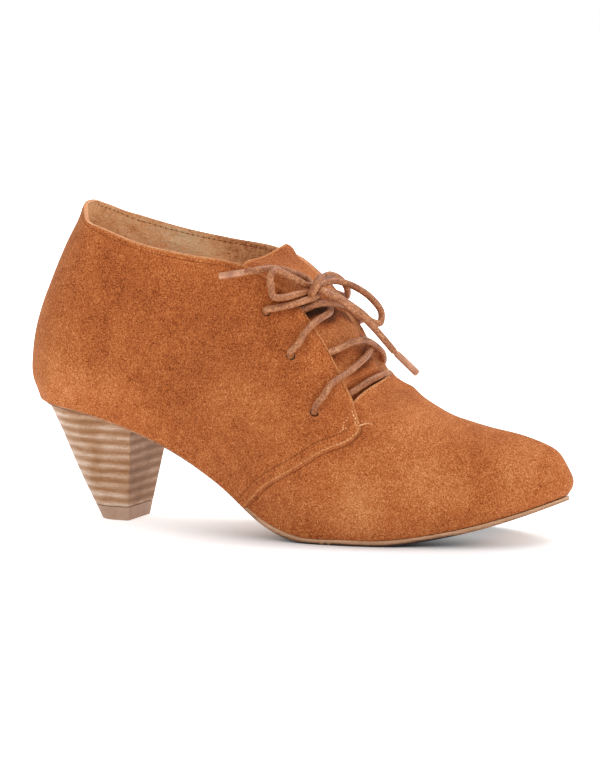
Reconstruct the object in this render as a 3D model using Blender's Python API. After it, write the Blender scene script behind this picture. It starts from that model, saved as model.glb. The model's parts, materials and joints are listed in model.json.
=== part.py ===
"""A right lace-up shoe in suede on a tapered stacked heel, made as separate named pieces.

The toe points along +X, the outer (lateral) side is -Y, and the floor is z = 0.
Tables and sizes are in millimetres. In them x runs forward from the back of the heel.
"""
import math
from collections import namedtuple

import bpy
import numpy as np

# Driving sizes
MM = 0.001
SHARP_DEGREES = 40.0
GAP = 0.3                   # left between two pieces that touch
POINT_WIDTH = 0.01          # a plate's end that is narrower than this is one point
CENTRE_X = 122.9            # middle of the shoe's length, which becomes x = 0
CENTRE_Y = -0.8             # middle of its width, which becomes y = 0
SOLE_BACK = 4.0             # feather line at the back of the heel
SOLE_FRONT = 242.5          # feather line at the toe
HEEL_ROUND = 0.115          # share of the length that the round heel takes
TOE_ROUND = 0.15            # share of the length that the round toe takes
COLLAR_RISE = 3.0           # the collar is higher on the inner side
INSTEP_RISE = 6.0           # and so is the throat, because the instep's ridge lies that way
WALL = 1.8                  # suede and lining together
QUARTER_STEP = 1.0          # the quarter lies on the vamp
COLLAR_STEP = 0.2           # what is left of that step at the heel
LACE_RADIUS = 1.65
EYELET_RADIUS = 2.0
THROAT = 0.648              # share of the length where the throat ends and the vamp is whole

# The feather line, where upper and sole meet: centre line, half width, height and sole thickness
Feather = namedtuple("Feather", "along centre half height sole")
FEATHER = [
    Feather(0.00, 0.0, 24.5, 52.5, 1.3),
    Feather(0.10, 0.0, 25.0, 49.6, 1.3),
    Feather(0.20, -0.5, 25.5, 43.8, 1.3),
    Feather(0.30, -2.5, 24.5, 35.0, 1.4),
    Feather(0.40, -5.5, 25.5, 23.0, 1.7),
    Feather(0.50, -6.0, 30.0, 7.8, 2.0),
    Feather(0.57, -4.5, 34.5, 2.55, 2.2),
    Feather(0.65, -1.5, 37.0, 2.45, 2.2),
    Feather(0.72, 1.0, 36.5, 2.55, 2.2),
    Feather(0.80, 4.0, 32.0, 5.2, 2.0),
    Feather(0.88, 5.5, 26.0, 9.6, 1.8),
    Feather(0.95, 6.0, 20.5, 15.0, 1.6),
    Feather(1.00, 6.0, 17.5, 19.6, 1.5),
]

# The collar and throat edge, which runs on down the vamp as the line of its shoulders
Edge = namedtuple("Edge", "along x centre half height")
EDGE = [
    Edge(0.00, 28.0, 0.0, 21.0, 137.5),
    Edge(0.06, 34.5, 0.0, 22.5, 132.0),
    Edge(0.14, 47.0, 0.0, 25.0, 126.6),
    Edge(0.22, 62.0, 0.0, 26.0, 121.6),
    Edge(0.32, 84.0, 0.0, 25.5, 117.6),
    Edge(0.42, 106.0, 0.0, 22.5, 114.3),
    Edge(0.47, 117.0, 0.0, 20.5, 110.0),
    Edge(0.52, 127.0, -0.5, 19.0, 102.0),
    Edge(0.58, 141.0, -0.5, 18.5, 85.5),
    Edge(0.62, 149.5, -0.5, 18.5, 70.5),
    Edge(0.648, 156.0, -0.5, 18.5, 58.0),
    Edge(0.72, 173.0, 1.5, 19.5, 49.8),
    Edge(0.80, 193.0, 4.0, 18.0, 43.8),
    Edge(0.88, 212.0, 5.5, 15.0, 41.0),
    Edge(0.95, 228.0, 6.0, 11.0, 39.8),
    Edge(1.00, 236.5, 6.0, 9.0, 39.0),
]

# The ridge of the instep and vamp. Behind the throat it is the line that the tongue follows
Ridge = namedtuple("Ridge", "along x centre height")
RIDGE = [
    Ridge(0.42, 109.0, 3.0, 120.0),
    Ridge(0.47, 118.5, 4.0, 116.5),
    Ridge(0.52, 129.0, 5.0, 109.0),
    Ridge(0.58, 144.0, 6.0, 92.0),
    Ridge(0.62, 154.0, 6.0, 78.0),
    Ridge(0.648, 162.0, 6.0, 66.5),
    Ridge(0.72, 175.0, 5.5, 58.6),
    Ridge(0.80, 190.0, 5.5, 50.6),
    Ridge(0.88, 206.0, 5.5, 47.0),
    Ridge(0.95, 217.0, 6.0, 45.2),
    Ridge(1.00, 223.0, 6.0, 44.0),
]

# The seam where the quarter's front edge lies on the vamp, from the sole up to the throat's corner
Seam = namedtuple("Seam", "up along")
SEAM = [
    Seam(0.00, 0.462),
    Seam(0.18, 0.514),
    Seam(0.30, 0.560),
    Seam(0.49, 0.609),
    Seam(0.74, 0.656),
    Seam(0.876, 0.674),
    Seam(1.00, THROAT),
]

# Where one form changes into the next, as shares of the length
COLLAR_RISE_SPAN = (0.04, 0.26)
INSTEP_RISE_SPAN = (0.42, 0.56)
RISE_END_SPAN = (0.64, 0.84)
HEEL_BELLY_SPAN = (0.10, 0.40)
TOE_SHOULDER_SPAN = (0.80, 1.0)
CLOSING_SPAN = (0.42, 0.60)
QUARTER_SPAN = (0.30, 0.55)
WAIST_SPAN = (0.40, 0.56)

# A section of the upper climbs from the feather line by belly and shoulder to the edge, then the ridge
BELLY_UP, BELLY_IN = 0.20, 0.04
BELLY_OUT, HEEL_BELLY_OUT = 2.6, 4.2
SHOULDER_UP, SHOULDER_IN, TOE_SHOULDER_IN = 0.62, 0.31, 0.02
RIDGE_UP = 1.35
HEEL_COLUMNS, QUARTER_COLUMNS, VAMP_COLUMNS, TOE_COLUMNS = 7, 21, 10, 8
SEAM_WIDTH = 0.0015         # share of the length that the quarter's front edge slopes over
WALL_ROWS = [0.0, 0.05, 0.11, 0.18, 0.27, 0.36, 0.45, 0.54, 0.63, 0.72, 0.80, 0.876, 0.94, 1.0]
CAP_ROWS = [1.09, 1.18, 1.27, RIDGE_UP]

# Lace holes: share of the length and of the wall's height
Eyelet = namedtuple("Eyelet", "along up")
EYELETS = [Eyelet(0.485, 0.855), Eyelet(0.541, 0.77), Eyelet(0.592, 0.655)]

# The tongue, the plates and the laces
TONGUE_TOP, TONGUE_FOOT = 0.425, 0.70      # shares of the length
TONGUE_REACH = 0.70                        # how far down the wall its sides go
TONGUE_COLUMNS = 14
TONGUE_GAP = 0.5
TONGUE_THICKNESS = 1.8
SOLE_EDGE = 0.6                            # the outsole stands out past the feather line
SEAT_EDGE = -1.5                           # and is drawn in at the heel seat
INSOLE_INSET = 2.6
INSOLE_THICKNESS = 2.5
QUARTER_LIFT = 3.1                         # lace centre above the last, over a quarter
THROAT_LIFT = 1.8                          # and over the open throat
Crossing = namedtuple("Crossing", "ahead up side")
CROSSING = [
    Crossing(0.020, 0.84, 1),
    Crossing(0.034, 1.00, 1),
    Crossing(0.036, 1.16, 1),
    Crossing(0.031, RIDGE_UP, 1),
    Crossing(0.024, 1.16, -1),
    Crossing(0.012, 1.00, -1),
    Crossing(-0.020, 0.88, -1),
]
KnotStrand = namedtuple("KnotStrand", "along up")
KNOT_STRAND = {
    -1: [KnotStrand(0.517, 0.90), KnotStrand(0.545, 1.03), KnotStrand(0.552, 1.12)],
    1: [KnotStrand(0.500, 0.95), KnotStrand(0.520, 1.08), KnotStrand(0.530, 1.17)],
}
LACE_BAR_ALONG = 0.645                     # the straight bar of lace at the throat's foot
LACE_BAR = [(-1, 1.08), (-1, 1.2), (1, RIDGE_UP), (1, 1.2), (1, 1.08)]     # side and up
LACE_BAR_LIFT = -0.1
AGLET_RADIUS = 1.9
CORD_SPACING = 4.4                         # points of a bow's cord, in radii
TUBE_SPACING = 2.0                         # and of a crossing
KNOT_CENTRE = (134.9, -8.0, 103.7)
KNOT_RADII = (4.6, 4.6, 3.6)
BOW_ROUTES = {
    "lace_loop_near": [
        (132.6, -14.0, 105.7), (130.0, -18.0, 108.1), (127.0, -21.8, 110.4), (124.4, -25.2, 112.0),
        (123.5, -28.4, 110.5), (123.9, -29.4, 105.8), (125.3, -29.4, 101.3), (128.6, -26.5, 101.0),
        (131.7, -21.5, 101.9), (133.5, -14.6, 102.1)],
    "lace_loop_far": [
        (137.4, -3.8, 105.5), (140.1, 0.7, 106.2), (143.6, 5.0, 105.1), (148.8, 8.5, 102.2),
        (154.2, 9.8, 97.9), (158.2, 9.5, 92.5), (158.3, 7.5, 88.4), (156.3, 4.5, 89.0),
        (152.4, 0.5, 93.3), (147.3, -2.5, 97.5), (143.0, -4.3, 100.5), (139.8, -5.5, 102.2)],
    "lace_end_near": [
        (130.3, -6.0, 107.4), (126.9, -9.5, 109.5), (122.9, -14.0, 111.4), (119.5, -19.0, 112.3),
        (117.5, -24.0, 112.2), (115.2, -27.0, 111.7), (113.1, -28.0, 111.25)],
    "lace_end_far": [
        (139.8, -12.6, 103.4), (145.2, -11.0, 100.5), (150.6, -8.0, 96.5), (155.3, -4.5, 91.9),
        (159.3, -2.0, 87.2), (163.3, 0.0, 82.1), (167.2, 1.5, 77.2)],
}
AGLETS = {
    "aglet_near": ((111.9, -28.25, 111.1), (100.0, -28.8, 109.1)),
    "aglet_far": ((167.7, 1.8, 76.7), (176.8, 4.0, 67.8)),
}

# The heel tapers from its seat to its tip. Its plan is a D with a flat breast
HEEL_SEAT_HEIGHT = 48.0
HEEL_CENTRE = 0.0
HEEL_ROUND_STEPS = 10
HEEL_LEVELS = 6
LIFT_HEIGHT = 6.0
Plan = namedtuple("Plan", "back breast half round")
HEEL_SEAT = Plan(back=7.5, breast=55.5, half=22.5, round=23.0)
HEEL_TIP = Plan(back=32.5, breast=48.8, half=11.0, round=10.5)


def clear_scene():
    for item in list(bpy.data.objects):
        bpy.data.objects.remove(item, do_unlink=True)


def read_curve(knots, values, at):
    """A smooth curve through the values, read at one place."""
    knots = np.asarray(knots, float)
    values = np.asarray(values, float)
    slopes = np.gradient(values, knots, axis=0)
    index = int(np.clip(np.searchsorted(knots, at) - 1, 0, len(knots) - 2))
    span = knots[index + 1] - knots[index]
    part = (at - knots[index]) / span
    start, end = values[index], values[index + 1]
    leave, arrive = slopes[index] * span, slopes[index + 1] * span
    rise = part * part * (3.0 - 2.0 * part)
    bend = part * (1.0 - part)
    return start + (end - start) * rise + bend * ((1.0 - part) * leave - part * arrive)


def read_row(table, at):
    """All columns of a table after its first, at one place on smooth curves."""
    return read_curve([row[0] for row in table], [row[1:] for row in table], at)


def ease(start, end, value):
    part = min(1.0, max(0.0, (value - start) / (end - start)))
    return part * part * (3.0 - 2.0 * part)


def rounding(along):
    """Share of the half width that is left near the round back and the round toe."""
    if along < HEEL_ROUND:
        return math.sqrt(max(0.0, 1.0 - (1.0 - along / HEEL_ROUND) ** 2))
    if along > 1.0 - TOE_ROUND:
        return math.sqrt(max(0.0, 1.0 - ((along - 1.0 + TOE_ROUND) / TOE_ROUND) ** 2))
    return 1.0


def feather_point(along, side, grow=0.0):
    """The feather line on one side, side -1 outer and 1 inner, moved out by grow."""
    centre, half, height, _ = read_row(FEATHER, along)
    x = SOLE_BACK + along * (SOLE_FRONT - SOLE_BACK) + grow * (2.0 * along - 1.0)
    return np.array([x, centre + side * (half + grow) * rounding(along), height])


def edge_point(along, side):
    x, centre, half, height = read_row(EDGE, along)
    rise = COLLAR_RISE * ease(*COLLAR_RISE_SPAN, along)
    rise += (INSTEP_RISE - COLLAR_RISE) * ease(*INSTEP_RISE_SPAN, along)
    rise *= 1.0 - ease(*RISE_END_SPAN, along)
    return np.array([x, centre + side * half * rounding(along), height + (rise if side > 0 else 0.0)])


def outward(along, side):
    """Direction out of the feather line's outline, seen from above."""
    turn = side * math.acos(1.0 - 2.0 * along)
    step = 0.01
    ends = []
    for angle in (turn - step, turn + step):
        angle = (angle + math.pi) % (2.0 * math.pi) - math.pi
        ends.append(feather_point((1.0 - math.cos(angle)) / 2.0, 1.0 if angle > 0 else -1.0))
    tangent = ends[1] - ends[0]
    normal = np.array([-tangent[1], tangent[0], 0.0])
    return normal / np.linalg.norm(normal)


def between(low, high, inward, up):
    return np.array([*(low[:2] + (high[:2] - low[:2]) * inward), low[2] + (high[2] - low[2]) * up])


def last_point(along, up, side, closed):
    """A point of the last's surface: up is 0 at the feather line, 1 at the edge, RIDGE_UP at the ridge.

    closed tells how far the wall bends over at its edge, from 0 at the open collar to 1 on the vamp.
    """
    low = feather_point(along, side)
    high = edge_point(along, side)
    bulge = HEEL_BELLY_OUT + (BELLY_OUT - HEEL_BELLY_OUT) * ease(*HEEL_BELLY_SPAN, along)
    belly = between(low, high, BELLY_IN, BELLY_UP) + bulge * outward(along, side)
    tuck = SHOULDER_IN + (TOE_SHOULDER_IN - SHOULDER_IN) * ease(*TOE_SHOULDER_SPAN, along)
    shoulder = between(low, high, tuck, SHOULDER_UP)
    straight = high + (high - shoulder) * (RIDGE_UP - 1.0) / (1.0 - SHOULDER_UP)
    ridge = read_row(RIDGE, max(along, RIDGE[0].along))
    ridge = straight + (ridge - straight) * closed
    beyond = edge_point(along, -side)
    knots = [0.0, BELLY_UP, SHOULDER_UP, 1.0, RIDGE_UP, 2.0 * RIDGE_UP - 1.0]
    return read_curve(knots, [low, belly, shoulder, high, ridge, beyond], up)


def upper_point(along, up, side):
    return last_point(along, up, side, ease(*CLOSING_SPAN, along))


def last_normal(along, up, side, closed=1.0):
    """Direction out of the last's surface."""
    step = 0.004
    forward = last_point(along + step, up, side, closed) - last_point(along - step, up, side, closed)
    climb = last_point(along, up + step, side, closed) - last_point(along, up - step, side, closed)
    normal = np.cross(forward, climb) * -side
    return normal / np.linalg.norm(normal)


def column_places():
    """Places of the wall's columns along the shoe, closer together round the heel and the toe."""
    heel = [HEEL_ROUND * (1.0 - math.cos(math.pi / 2.0 * i / HEEL_COLUMNS)) for i in range(HEEL_COLUMNS)]
    quarter = list(np.linspace(HEEL_ROUND, THROAT, QUARTER_COLUMNS))
    vamp = list(np.linspace(THROAT + SEAM_WIDTH, 1.0 - TOE_ROUND, VAMP_COLUMNS))
    turns = [math.pi / 2.0 * i / TOE_COLUMNS for i in range(1, TOE_COLUMNS + 1)]
    toe = [1.0 - TOE_ROUND + TOE_ROUND * math.sin(turn) for turn in turns]
    return heel + quarter, vamp + toe


def seam_shift(place, up):
    """Columns lean forward or back so that one of them follows the seam."""
    lean = read_row(SEAM, min(up, 1.0))[0] - THROAT
    share = (place / THROAT) ** 2 if place < THROAT else (1.0 - place) / (1.0 - THROAT)
    return place + lean * min(share, 1.0)


def quarter_step(place):
    return COLLAR_STEP + (QUARTER_STEP - COLLAR_STEP) * ease(*QUARTER_SPAN, place)


def add_object(name, points, faces, material):
    mesh = bpy.data.meshes.new(name)
    shifted = (np.asarray(points) - np.array([CENTRE_X, CENTRE_Y, 0.0])) * MM
    mesh.from_pydata(shifted.tolist(), [], faces)
    mesh.materials.append(material)
    mesh.validate()
    mesh.shade_smooth()
    mesh.set_sharp_from_angle(angle=math.radians(SHARP_DEGREES))
    item = bpy.data.objects.new(name, mesh)
    bpy.context.scene.collection.objects.link(item)
    return item


def make_material(name, colour, roughness, metallic=0.0):
    """A Principled material from an sRGB colour written as three numbers up to 255."""
    material = bpy.data.materials.new(name)
    material.use_nodes = True
    shader = material.node_tree.nodes["Principled BSDF"]
    linear = [((c / 255.0 + 0.055) / 1.055) ** 2.4 for c in colour]
    shader.inputs["Base Color"].default_value = (*linear, 1.0)
    shader.inputs["Roughness"].default_value = roughness
    shader.inputs["Metallic"].default_value = metallic
    return material


class Sheet:
    """An open sheet of points and faces that is thickened into a closed wall."""

    def __init__(self):
        self.points = []
        self.raised = []
        self.faces = []
        self.index = {}

    def add(self, key, point, raised=0.0):
        if key not in self.index:
            self.index[key] = len(self.points)
            self.points.append(np.asarray(point, float))
            self.raised.append(raised)
        return self.index[key]

    def normals(self):
        total = np.zeros((len(self.points), 3))
        for face in self.faces:
            corners = [self.points[i] for i in face]
            area = np.zeros(3)
            for k in range(1, len(corners) - 1):
                area += np.cross(corners[k] - corners[0], corners[k + 1] - corners[0])
            for i in face:
                total[i] += area / np.linalg.norm(area)
        return total / np.linalg.norm(total, axis=1)[:, None]

    def wall(self, outer, inner):
        """Points and faces of a closed wall from outer above the sheet to inner below it."""
        normals = self.normals()
        points = np.array(self.points)
        raised = np.array(self.raised)[:, None]
        both = np.concatenate([points + normals * (outer + raised), points - normals * inner])
        count = len(points)
        faces = [tuple(face) for face in self.faces]
        faces += [tuple(i + count for i in reversed(face)) for face in self.faces]
        edges = {(a, b) for face in self.faces for a, b in zip(face, face[1:] + face[:1])}
        faces += [(b, a, a + count, b + count) for a, b in sorted(edges) if (b, a) not in edges]
        return both, faces


def punch(sheet, key_at, column, row, centre):
    """Replace the four cells round a grid point with a ring of cells about a round hole."""
    ring_steps = [(-1, -1), (0, -1), (1, -1), (1, 0), (1, 1), (0, 1), (-1, 1), (-1, 0)]
    middle = sheet.index[key_at(column, row)]
    kept = [face for face in sheet.faces if middle not in face]
    turned = next(face for face in sheet.faces if middle in face)
    sheet.faces = kept
    ring = [sheet.index[key_at(column + i, row + j)] for i, j in ring_steps]
    order = list(zip(turned, turned[1:] + turned[:1]))
    if not any((a, b) in order for a, b in zip(ring, ring[1:] + ring[:1])):
        ring.reverse()
    across = sheet.points[ring[0]] - sheet.points[ring[4]]
    other = sheet.points[ring[2]] - sheet.points[ring[6]]
    normal = np.cross(across, other)
    normal /= np.linalg.norm(normal)
    holes = []
    for i in ring:
        arm = sheet.points[i] - centre
        arm -= normal * np.dot(arm, normal)
        holes.append(len(sheet.points))
        sheet.points.append(centre + arm * EYELET_RADIUS / np.linalg.norm(arm))
        sheet.raised.append(sheet.raised[middle])
    for k in range(8):
        follow = (k + 1) % 8
        sheet.faces.append([ring[k], ring[follow], holes[follow], holes[k]])


def build_upper(material):
    quarters, vamp = column_places()
    places = quarters + vamp
    seam_column = len(quarters) - 1
    last_column = len(places) - 1
    rows = WALL_ROWS + CAP_ROWS
    wall_top = len(WALL_ROWS) - 1
    sheet = Sheet()

    def key_for(side):
        def key_at(column, row):
            shared = column in (0, last_column) or row == len(rows) - 1
            return (0 if shared else side, column, row)
        return key_at

    for side in (-1, 1):
        key_at = key_for(side)
        for column, place in enumerate(places):
            tall = len(rows) if column > seam_column else wall_top + 1
            raised = quarter_step(place) if column <= seam_column else 0.0
            for row in range(tall):
                along = seam_shift(place, rows[row])
                sheet.add(key_at(column, row), upper_point(along, rows[row], side), raised)
        for column in range(last_column):
            tall = len(rows) if column > seam_column else wall_top + 1
            for row in range(tall - 1):
                corners = [(column, row), (column + 1, row), (column + 1, row + 1), (column, row + 1)]
                face = [sheet.index[key_at(*corner)] for corner in corners]
                sheet.faces.append(face if side < 0 else face[::-1])
    for side in (-1, 1):
        key_at = key_for(side)
        for hole in EYELETS:
            centre = upper_point(hole.along, hole.up, side)
            spots = [(c, r) for c in range(HEEL_COLUMNS, seam_column) for r in range(1, wall_top)]
            gaps = [np.linalg.norm(sheet.points[sheet.index[key_at(*spot)]] - centre) for spot in spots]
            column, row = spots[int(np.argmin(gaps))]
            punch(sheet, key_at, column, row, centre)
    used = sorted({i for face in sheet.faces for i in face})
    renumber = {old: new for new, old in enumerate(used)}
    sheet.points = [sheet.points[i] for i in used]
    sheet.raised = [sheet.raised[i] for i in used]
    sheet.faces = [[renumber[i] for i in face] for face in sheet.faces]
    return add_object("upper", *sheet.wall(0.0, WALL), material)


def build_tongue(material):
    """A sheet under the quarters and the vamp's rear, which stands just clear of the collar."""
    ups = [row for row in WALL_ROWS if row > TONGUE_REACH]
    across = [(-1, up) for up in ups + CAP_ROWS] + [(1, up) for up in (ups + CAP_ROWS[:-1])[::-1]]
    places = np.linspace(TONGUE_TOP, TONGUE_FOOT, TONGUE_COLUMNS)
    sheet = Sheet()
    for i, along in enumerate(places):
        for j, (side, up) in enumerate(across):
            closed = 1.0 if up > 1.0 else ease(*CLOSING_SPAN, along)
            sheet.add((i, j), last_point(along, up, side, closed))
    for i in range(len(places) - 1):
        for j in range(len(across) - 1):
            corners = [(i, j), (i + 1, j), (i + 1, j + 1), (i, j + 1)]
            sheet.faces.append([sheet.index[corner] for corner in corners])
    depth = WALL + TONGUE_GAP
    return add_object("tongue", *sheet.wall(-depth, depth + TONGUE_THICKNESS), material)


def build_plate(name, grow_of, top_of, bottom_of, material):
    """A plate of the feather line's outline, between two heights that follow the length."""
    quarters, vamp = column_places()
    places = quarters + vamp
    points, faces = [], []
    rings = []
    for place in places:
        lateral, medial = (feather_point(place, side, grow_of(place)) for side in (-1, 1))
        middle = (lateral + medial) / 2.0
        tip = np.linalg.norm(medial - lateral) < POINT_WIDTH
        corners = [middle] if tip else [lateral, middle, medial]
        layers = []
        for height in (top_of(place), bottom_of(place)):
            layers.append(list(range(len(points), len(points) + len(corners))))
            points += [np.array([corner[0], corner[1], height]) for corner in corners]
        rings.append(layers)
    for near, far in zip(rings, rings[1:]):
        for layer, turn in ((0, 1), (1, -1)):
            a, b = near[layer], far[layer]
            if len(a) == 1:
                strips = [(a[0], b[0], b[1]), (a[0], b[1], b[2])]
            elif len(b) == 1:
                strips = [(a[0], b[0], a[1]), (a[1], b[0], a[2])]
            else:
                strips = [(a[0], b[0], b[1], a[1]), (a[1], b[1], b[2], a[2])]
            faces += [strip[::turn] for strip in strips]
        for edge, turn in ((0, -1), (-1, 1)):
            side = (near[0][edge], far[0][edge], far[1][edge], near[1][edge])
            faces.append(side[::turn])
    return add_object(name, points, faces, material)


def sole_top(along):
    return read_row(FEATHER, along)[2] - GAP


def sole_bottom(along):
    return max(0.0, sole_top(along) - read_row(FEATHER, along)[3])


def sole_edge(along):
    """The outsole is drawn in under the heel seat and waist, and stands out a little round the forefoot."""
    return SEAT_EDGE + (SOLE_EDGE - SEAT_EDGE) * ease(*WAIST_SPAN, along)


def build_outsole(material):
    return build_plate("outsole", sole_edge, sole_top, sole_bottom, material)


def build_insole(material):
    def bottom(along):
        return sole_top(along) + GAP

    def top(along):
        return bottom(along) + INSOLE_THICKNESS
    return build_plate("insole", lambda along: -INSOLE_INSET, top, bottom, material)


def heel_plan(height):
    """The heel's D-shaped plan at one height, as x and half width from the back to the breast."""
    share = height / HEEL_SEAT_HEIGHT
    back, breast, half, length = (t + (s - t) * share for t, s in zip(HEEL_TIP, HEEL_SEAT))
    turns = [math.pi / 2.0 * i / HEEL_ROUND_STEPS for i in range(HEEL_ROUND_STEPS + 1)]
    rows = [(back + length * (1.0 - math.cos(a)), half * math.sin(a)) for a in turns]
    rows += [(back + length + (breast - back - length) * part, half) for part in (0.5, 1.0)]
    return rows


def build_heel_block(name, bottom_of, top_of, levels, material):
    """A block between two heights that may follow x, on the heel's tapering plan."""
    points, faces, index = [], [], {}
    count = len(heel_plan(0.0))
    for level in range(levels + 1):
        share = level / levels
        for i in range(count):
            height = bottom_of(heel_plan(0.0)[i][0])
            for _ in range(3):
                x = heel_plan(height)[i][0]
                height = bottom_of(x) + (top_of(x) - bottom_of(x)) * share
            x, half = heel_plan(height)[i]
            for side in (-1, 1):
                key = (level, i, side if i else 0)
                if key not in index:
                    index[key] = len(points)
                    points.append(np.array([x, HEEL_CENTRE + side * half, height]))

    def at(level, i, side):
        return index[(level, i, side if i else 0)]

    for level in range(levels):
        for i in range(count - 1):
            for side in (-1, 1):
                low = [at(level, i, side), at(level, i + 1, side)]
                high = [at(level + 1, i + 1, side), at(level + 1, i, side)]
                faces.append(tuple((low + high)[::-side]))
        last = count - 1
        low = [at(level, last, -1), at(level, last, 1)]
        high = [at(level + 1, last, 1), at(level + 1, last, -1)]
        faces.append(tuple(low + high))
    for level, turn in ((0, -1), (levels, 1)):
        for i in range(count - 1):
            ring = [at(level, i, -1), at(level, i + 1, -1), at(level, i + 1, 1), at(level, i, 1)]
            ring = list(dict.fromkeys(ring))
            faces.append(tuple(ring[::turn]))
    return add_object(name, points, faces, material)


def build_heel(stack, rubber):
    def seat(x):
        along = (x - SOLE_BACK + SEAT_EDGE) / (SOLE_FRONT - SOLE_BACK + 2.0 * SEAT_EDGE)
        return sole_bottom(along) - GAP
    build_heel_block("heel", lambda x: LIFT_HEIGHT + GAP, seat, HEEL_LEVELS, stack)
    build_heel_block("heel_top_lift", lambda x: 0.0, lambda x: LIFT_HEIGHT, 1, rubber)


def route_points(route, spacing):
    """Evenly spaced points on a smooth curve through a cord's route."""
    route = np.asarray(route, float)
    knots = np.concatenate([[0.0], np.cumsum(np.linalg.norm(np.diff(route, axis=0), axis=1))])
    count = max(2, int(round(knots[-1] / spacing)))
    return [read_curve(knots, route, at) for at in np.linspace(0.0, knots[-1], count + 1)]


def add_cord(name, route, radius, material):
    """A free cord: a round tube on a curve, with closed ends."""
    curve = bpy.data.curves.new(name, "CURVE")
    curve.dimensions = "3D"
    curve.bevel_depth = radius * MM
    curve.bevel_resolution = 2
    curve.use_fill_caps = True
    points = route_points(route, CORD_SPACING * radius)
    spline = curve.splines.new("POLY")
    spline.points.add(len(points) - 1)
    for point, place in zip(spline.points, points):
        shifted = (place - np.array([CENTRE_X, CENTRE_Y, 0.0])) * MM
        point.co = (*shifted, 1.0)
    curve.materials.append(material)
    item = bpy.data.objects.new(name, curve)
    bpy.context.scene.collection.objects.link(item)
    return item


def add_tube(name, route, radius, material, sides=8):
    """A round tube as a mesh, with closed ends."""
    places = np.array(route_points(route, TUBE_SPACING * radius))
    along = np.gradient(places, axis=0)
    along /= np.linalg.norm(along, axis=1)[:, None]
    across = np.cross(along[0], [0.0, 0.0, 1.0])
    points, faces = [], []
    for place, tangent in zip(places, along):
        across = across - tangent * np.dot(across, tangent)
        across /= np.linalg.norm(across)
        other = np.cross(tangent, across)
        for k in range(sides):
            turn = 2.0 * math.pi * k / sides
            points.append(place + radius * (math.cos(turn) * across + math.sin(turn) * other))
    for i in range(len(places) - 1):
        for k in range(sides):
            a, b = i * sides + k, i * sides + (k + 1) % sides
            faces.append((a, b, b + sides, a + sides))
    faces.append(tuple(reversed(range(sides))))
    faces.append(tuple(range(len(points) - sides, len(points))))
    return add_object(name, points, faces, material)


def over_upper(along, up, side, lift):
    """A point above the closed last, for a lace that lies across the throat."""
    return last_point(along, up, side, 1.0) + last_normal(along, up, side) * lift


def build_laces(waxed, binding):
    """The joined crossings, the bar under them, and the bow's knot, loops, ends and tips."""
    top, middle, bottom = EYELETS
    strands = []
    for side in (-1, 1):
        for start, end, turn in ((bottom, middle, side), (middle, top, side)):
            route = [over_upper(start.along, start.up, turn, QUARTER_LIFT)]
            for step in CROSSING:
                lift = THROAT_LIFT if step.up > 1.0 else QUARTER_LIFT
                route.append(over_upper(start.along + step.ahead, step.up, turn * step.side, lift))
            route.append(over_upper(end.along, end.up, -turn, QUARTER_LIFT))
            strands.append(route)
        strands.append([over_upper(top.along, top.up, side, QUARTER_LIFT)])
        strands[-1] += [over_upper(along, up, side, QUARTER_LIFT) for along, up in KNOT_STRAND[side]]
    tubes = [add_tube("lace_crossings", strands[0], LACE_RADIUS, waxed)]
    for number, route in enumerate(strands[1:], 2):
        tubes.append(add_tube(f"lace_strand_{number}", route, LACE_RADIUS, waxed))
        join = tubes[0].modifiers.new("join", "BOOLEAN")
        join.operation = "UNION"
        join.object = tubes[-1]
        tubes[-1].hide_render = True
        tubes[-1].display_type = "WIRE"

    bar = [over_upper(LACE_BAR_ALONG, up, side, LACE_BAR_LIFT) for side, up in LACE_BAR]
    add_tube("lace_bar", bar, LACE_RADIUS, waxed)

    for name, route in BOW_ROUTES.items():
        add_cord(name, route, LACE_RADIUS, waxed)
    for name, (start, end) in AGLETS.items():
        add_cord(name, [start, end], AGLET_RADIUS, binding)
    add_knot(waxed)


def add_knot(material, turns=12, rings=8):
    """The bow's knot as a flattened ball."""
    points = [np.array(KNOT_CENTRE) + np.array([0.0, 0.0, -KNOT_RADII[2]])]
    for i in range(1, rings):
        tilt = math.pi * i / rings
        for k in range(turns):
            turn = 2.0 * math.pi * k / turns
            round_about = math.sin(tilt) * np.array([math.cos(turn), math.sin(turn), 0.0])
            ball = round_about - np.array([0.0, 0.0, math.cos(tilt)])
            points.append(np.array(KNOT_CENTRE) + ball * np.array(KNOT_RADII))
    points.append(np.array(KNOT_CENTRE) + np.array([0.0, 0.0, KNOT_RADII[2]]))
    faces = []
    for k in range(turns):
        follow = (k + 1) % turns
        faces.append((0, 1 + follow, 1 + k))
        for i in range(rings - 2):
            low, high = 1 + i * turns, 1 + (i + 1) * turns
            faces.append((low + k, low + follow, high + follow, high + k))
        top = 1 + (rings - 2) * turns
        faces.append((top + k, top + follow, len(points) - 1))
    return add_object("lace_knot", points, faces, material)


def main():
    clear_scene()
    suede = make_material("suede", (178, 100, 48), 0.95)
    leather = make_material("lining_leather", (190, 140, 95), 0.7)
    sole_leather = make_material("sole_leather", (205, 165, 130), 0.6)
    stack = make_material("stacked_leather", (175, 145, 112), 0.5)
    lift = make_material("top_lift", (165, 130, 110), 0.6)
    waxed = make_material("waxed_lace", (176, 122, 90), 0.5)
    binding = make_material("lace_tip", (170, 112, 80), 0.4)
    build_upper(suede)
    build_tongue(suede)
    build_insole(leather)
    build_outsole(sole_leather)
    build_heel(stack, lift)
    build_laces(waxed, binding)


main()
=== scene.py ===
# %% [markdown]
# # A suede lace-up shoe on a stacked heel
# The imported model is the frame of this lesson: solids of the shoe's pieces, in metres, with the
# floor at z = 0, the toe along +X and the outer side of this right shoe towards -Y.
# Each cell dresses one piece over its solid.

# %% Load the frame
import json
import math

import bmesh
import bpy
import numpy as np
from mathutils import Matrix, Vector
from mathutils.bvhtree import BVHTree
from mathutils.kdtree import KDTree

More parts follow.
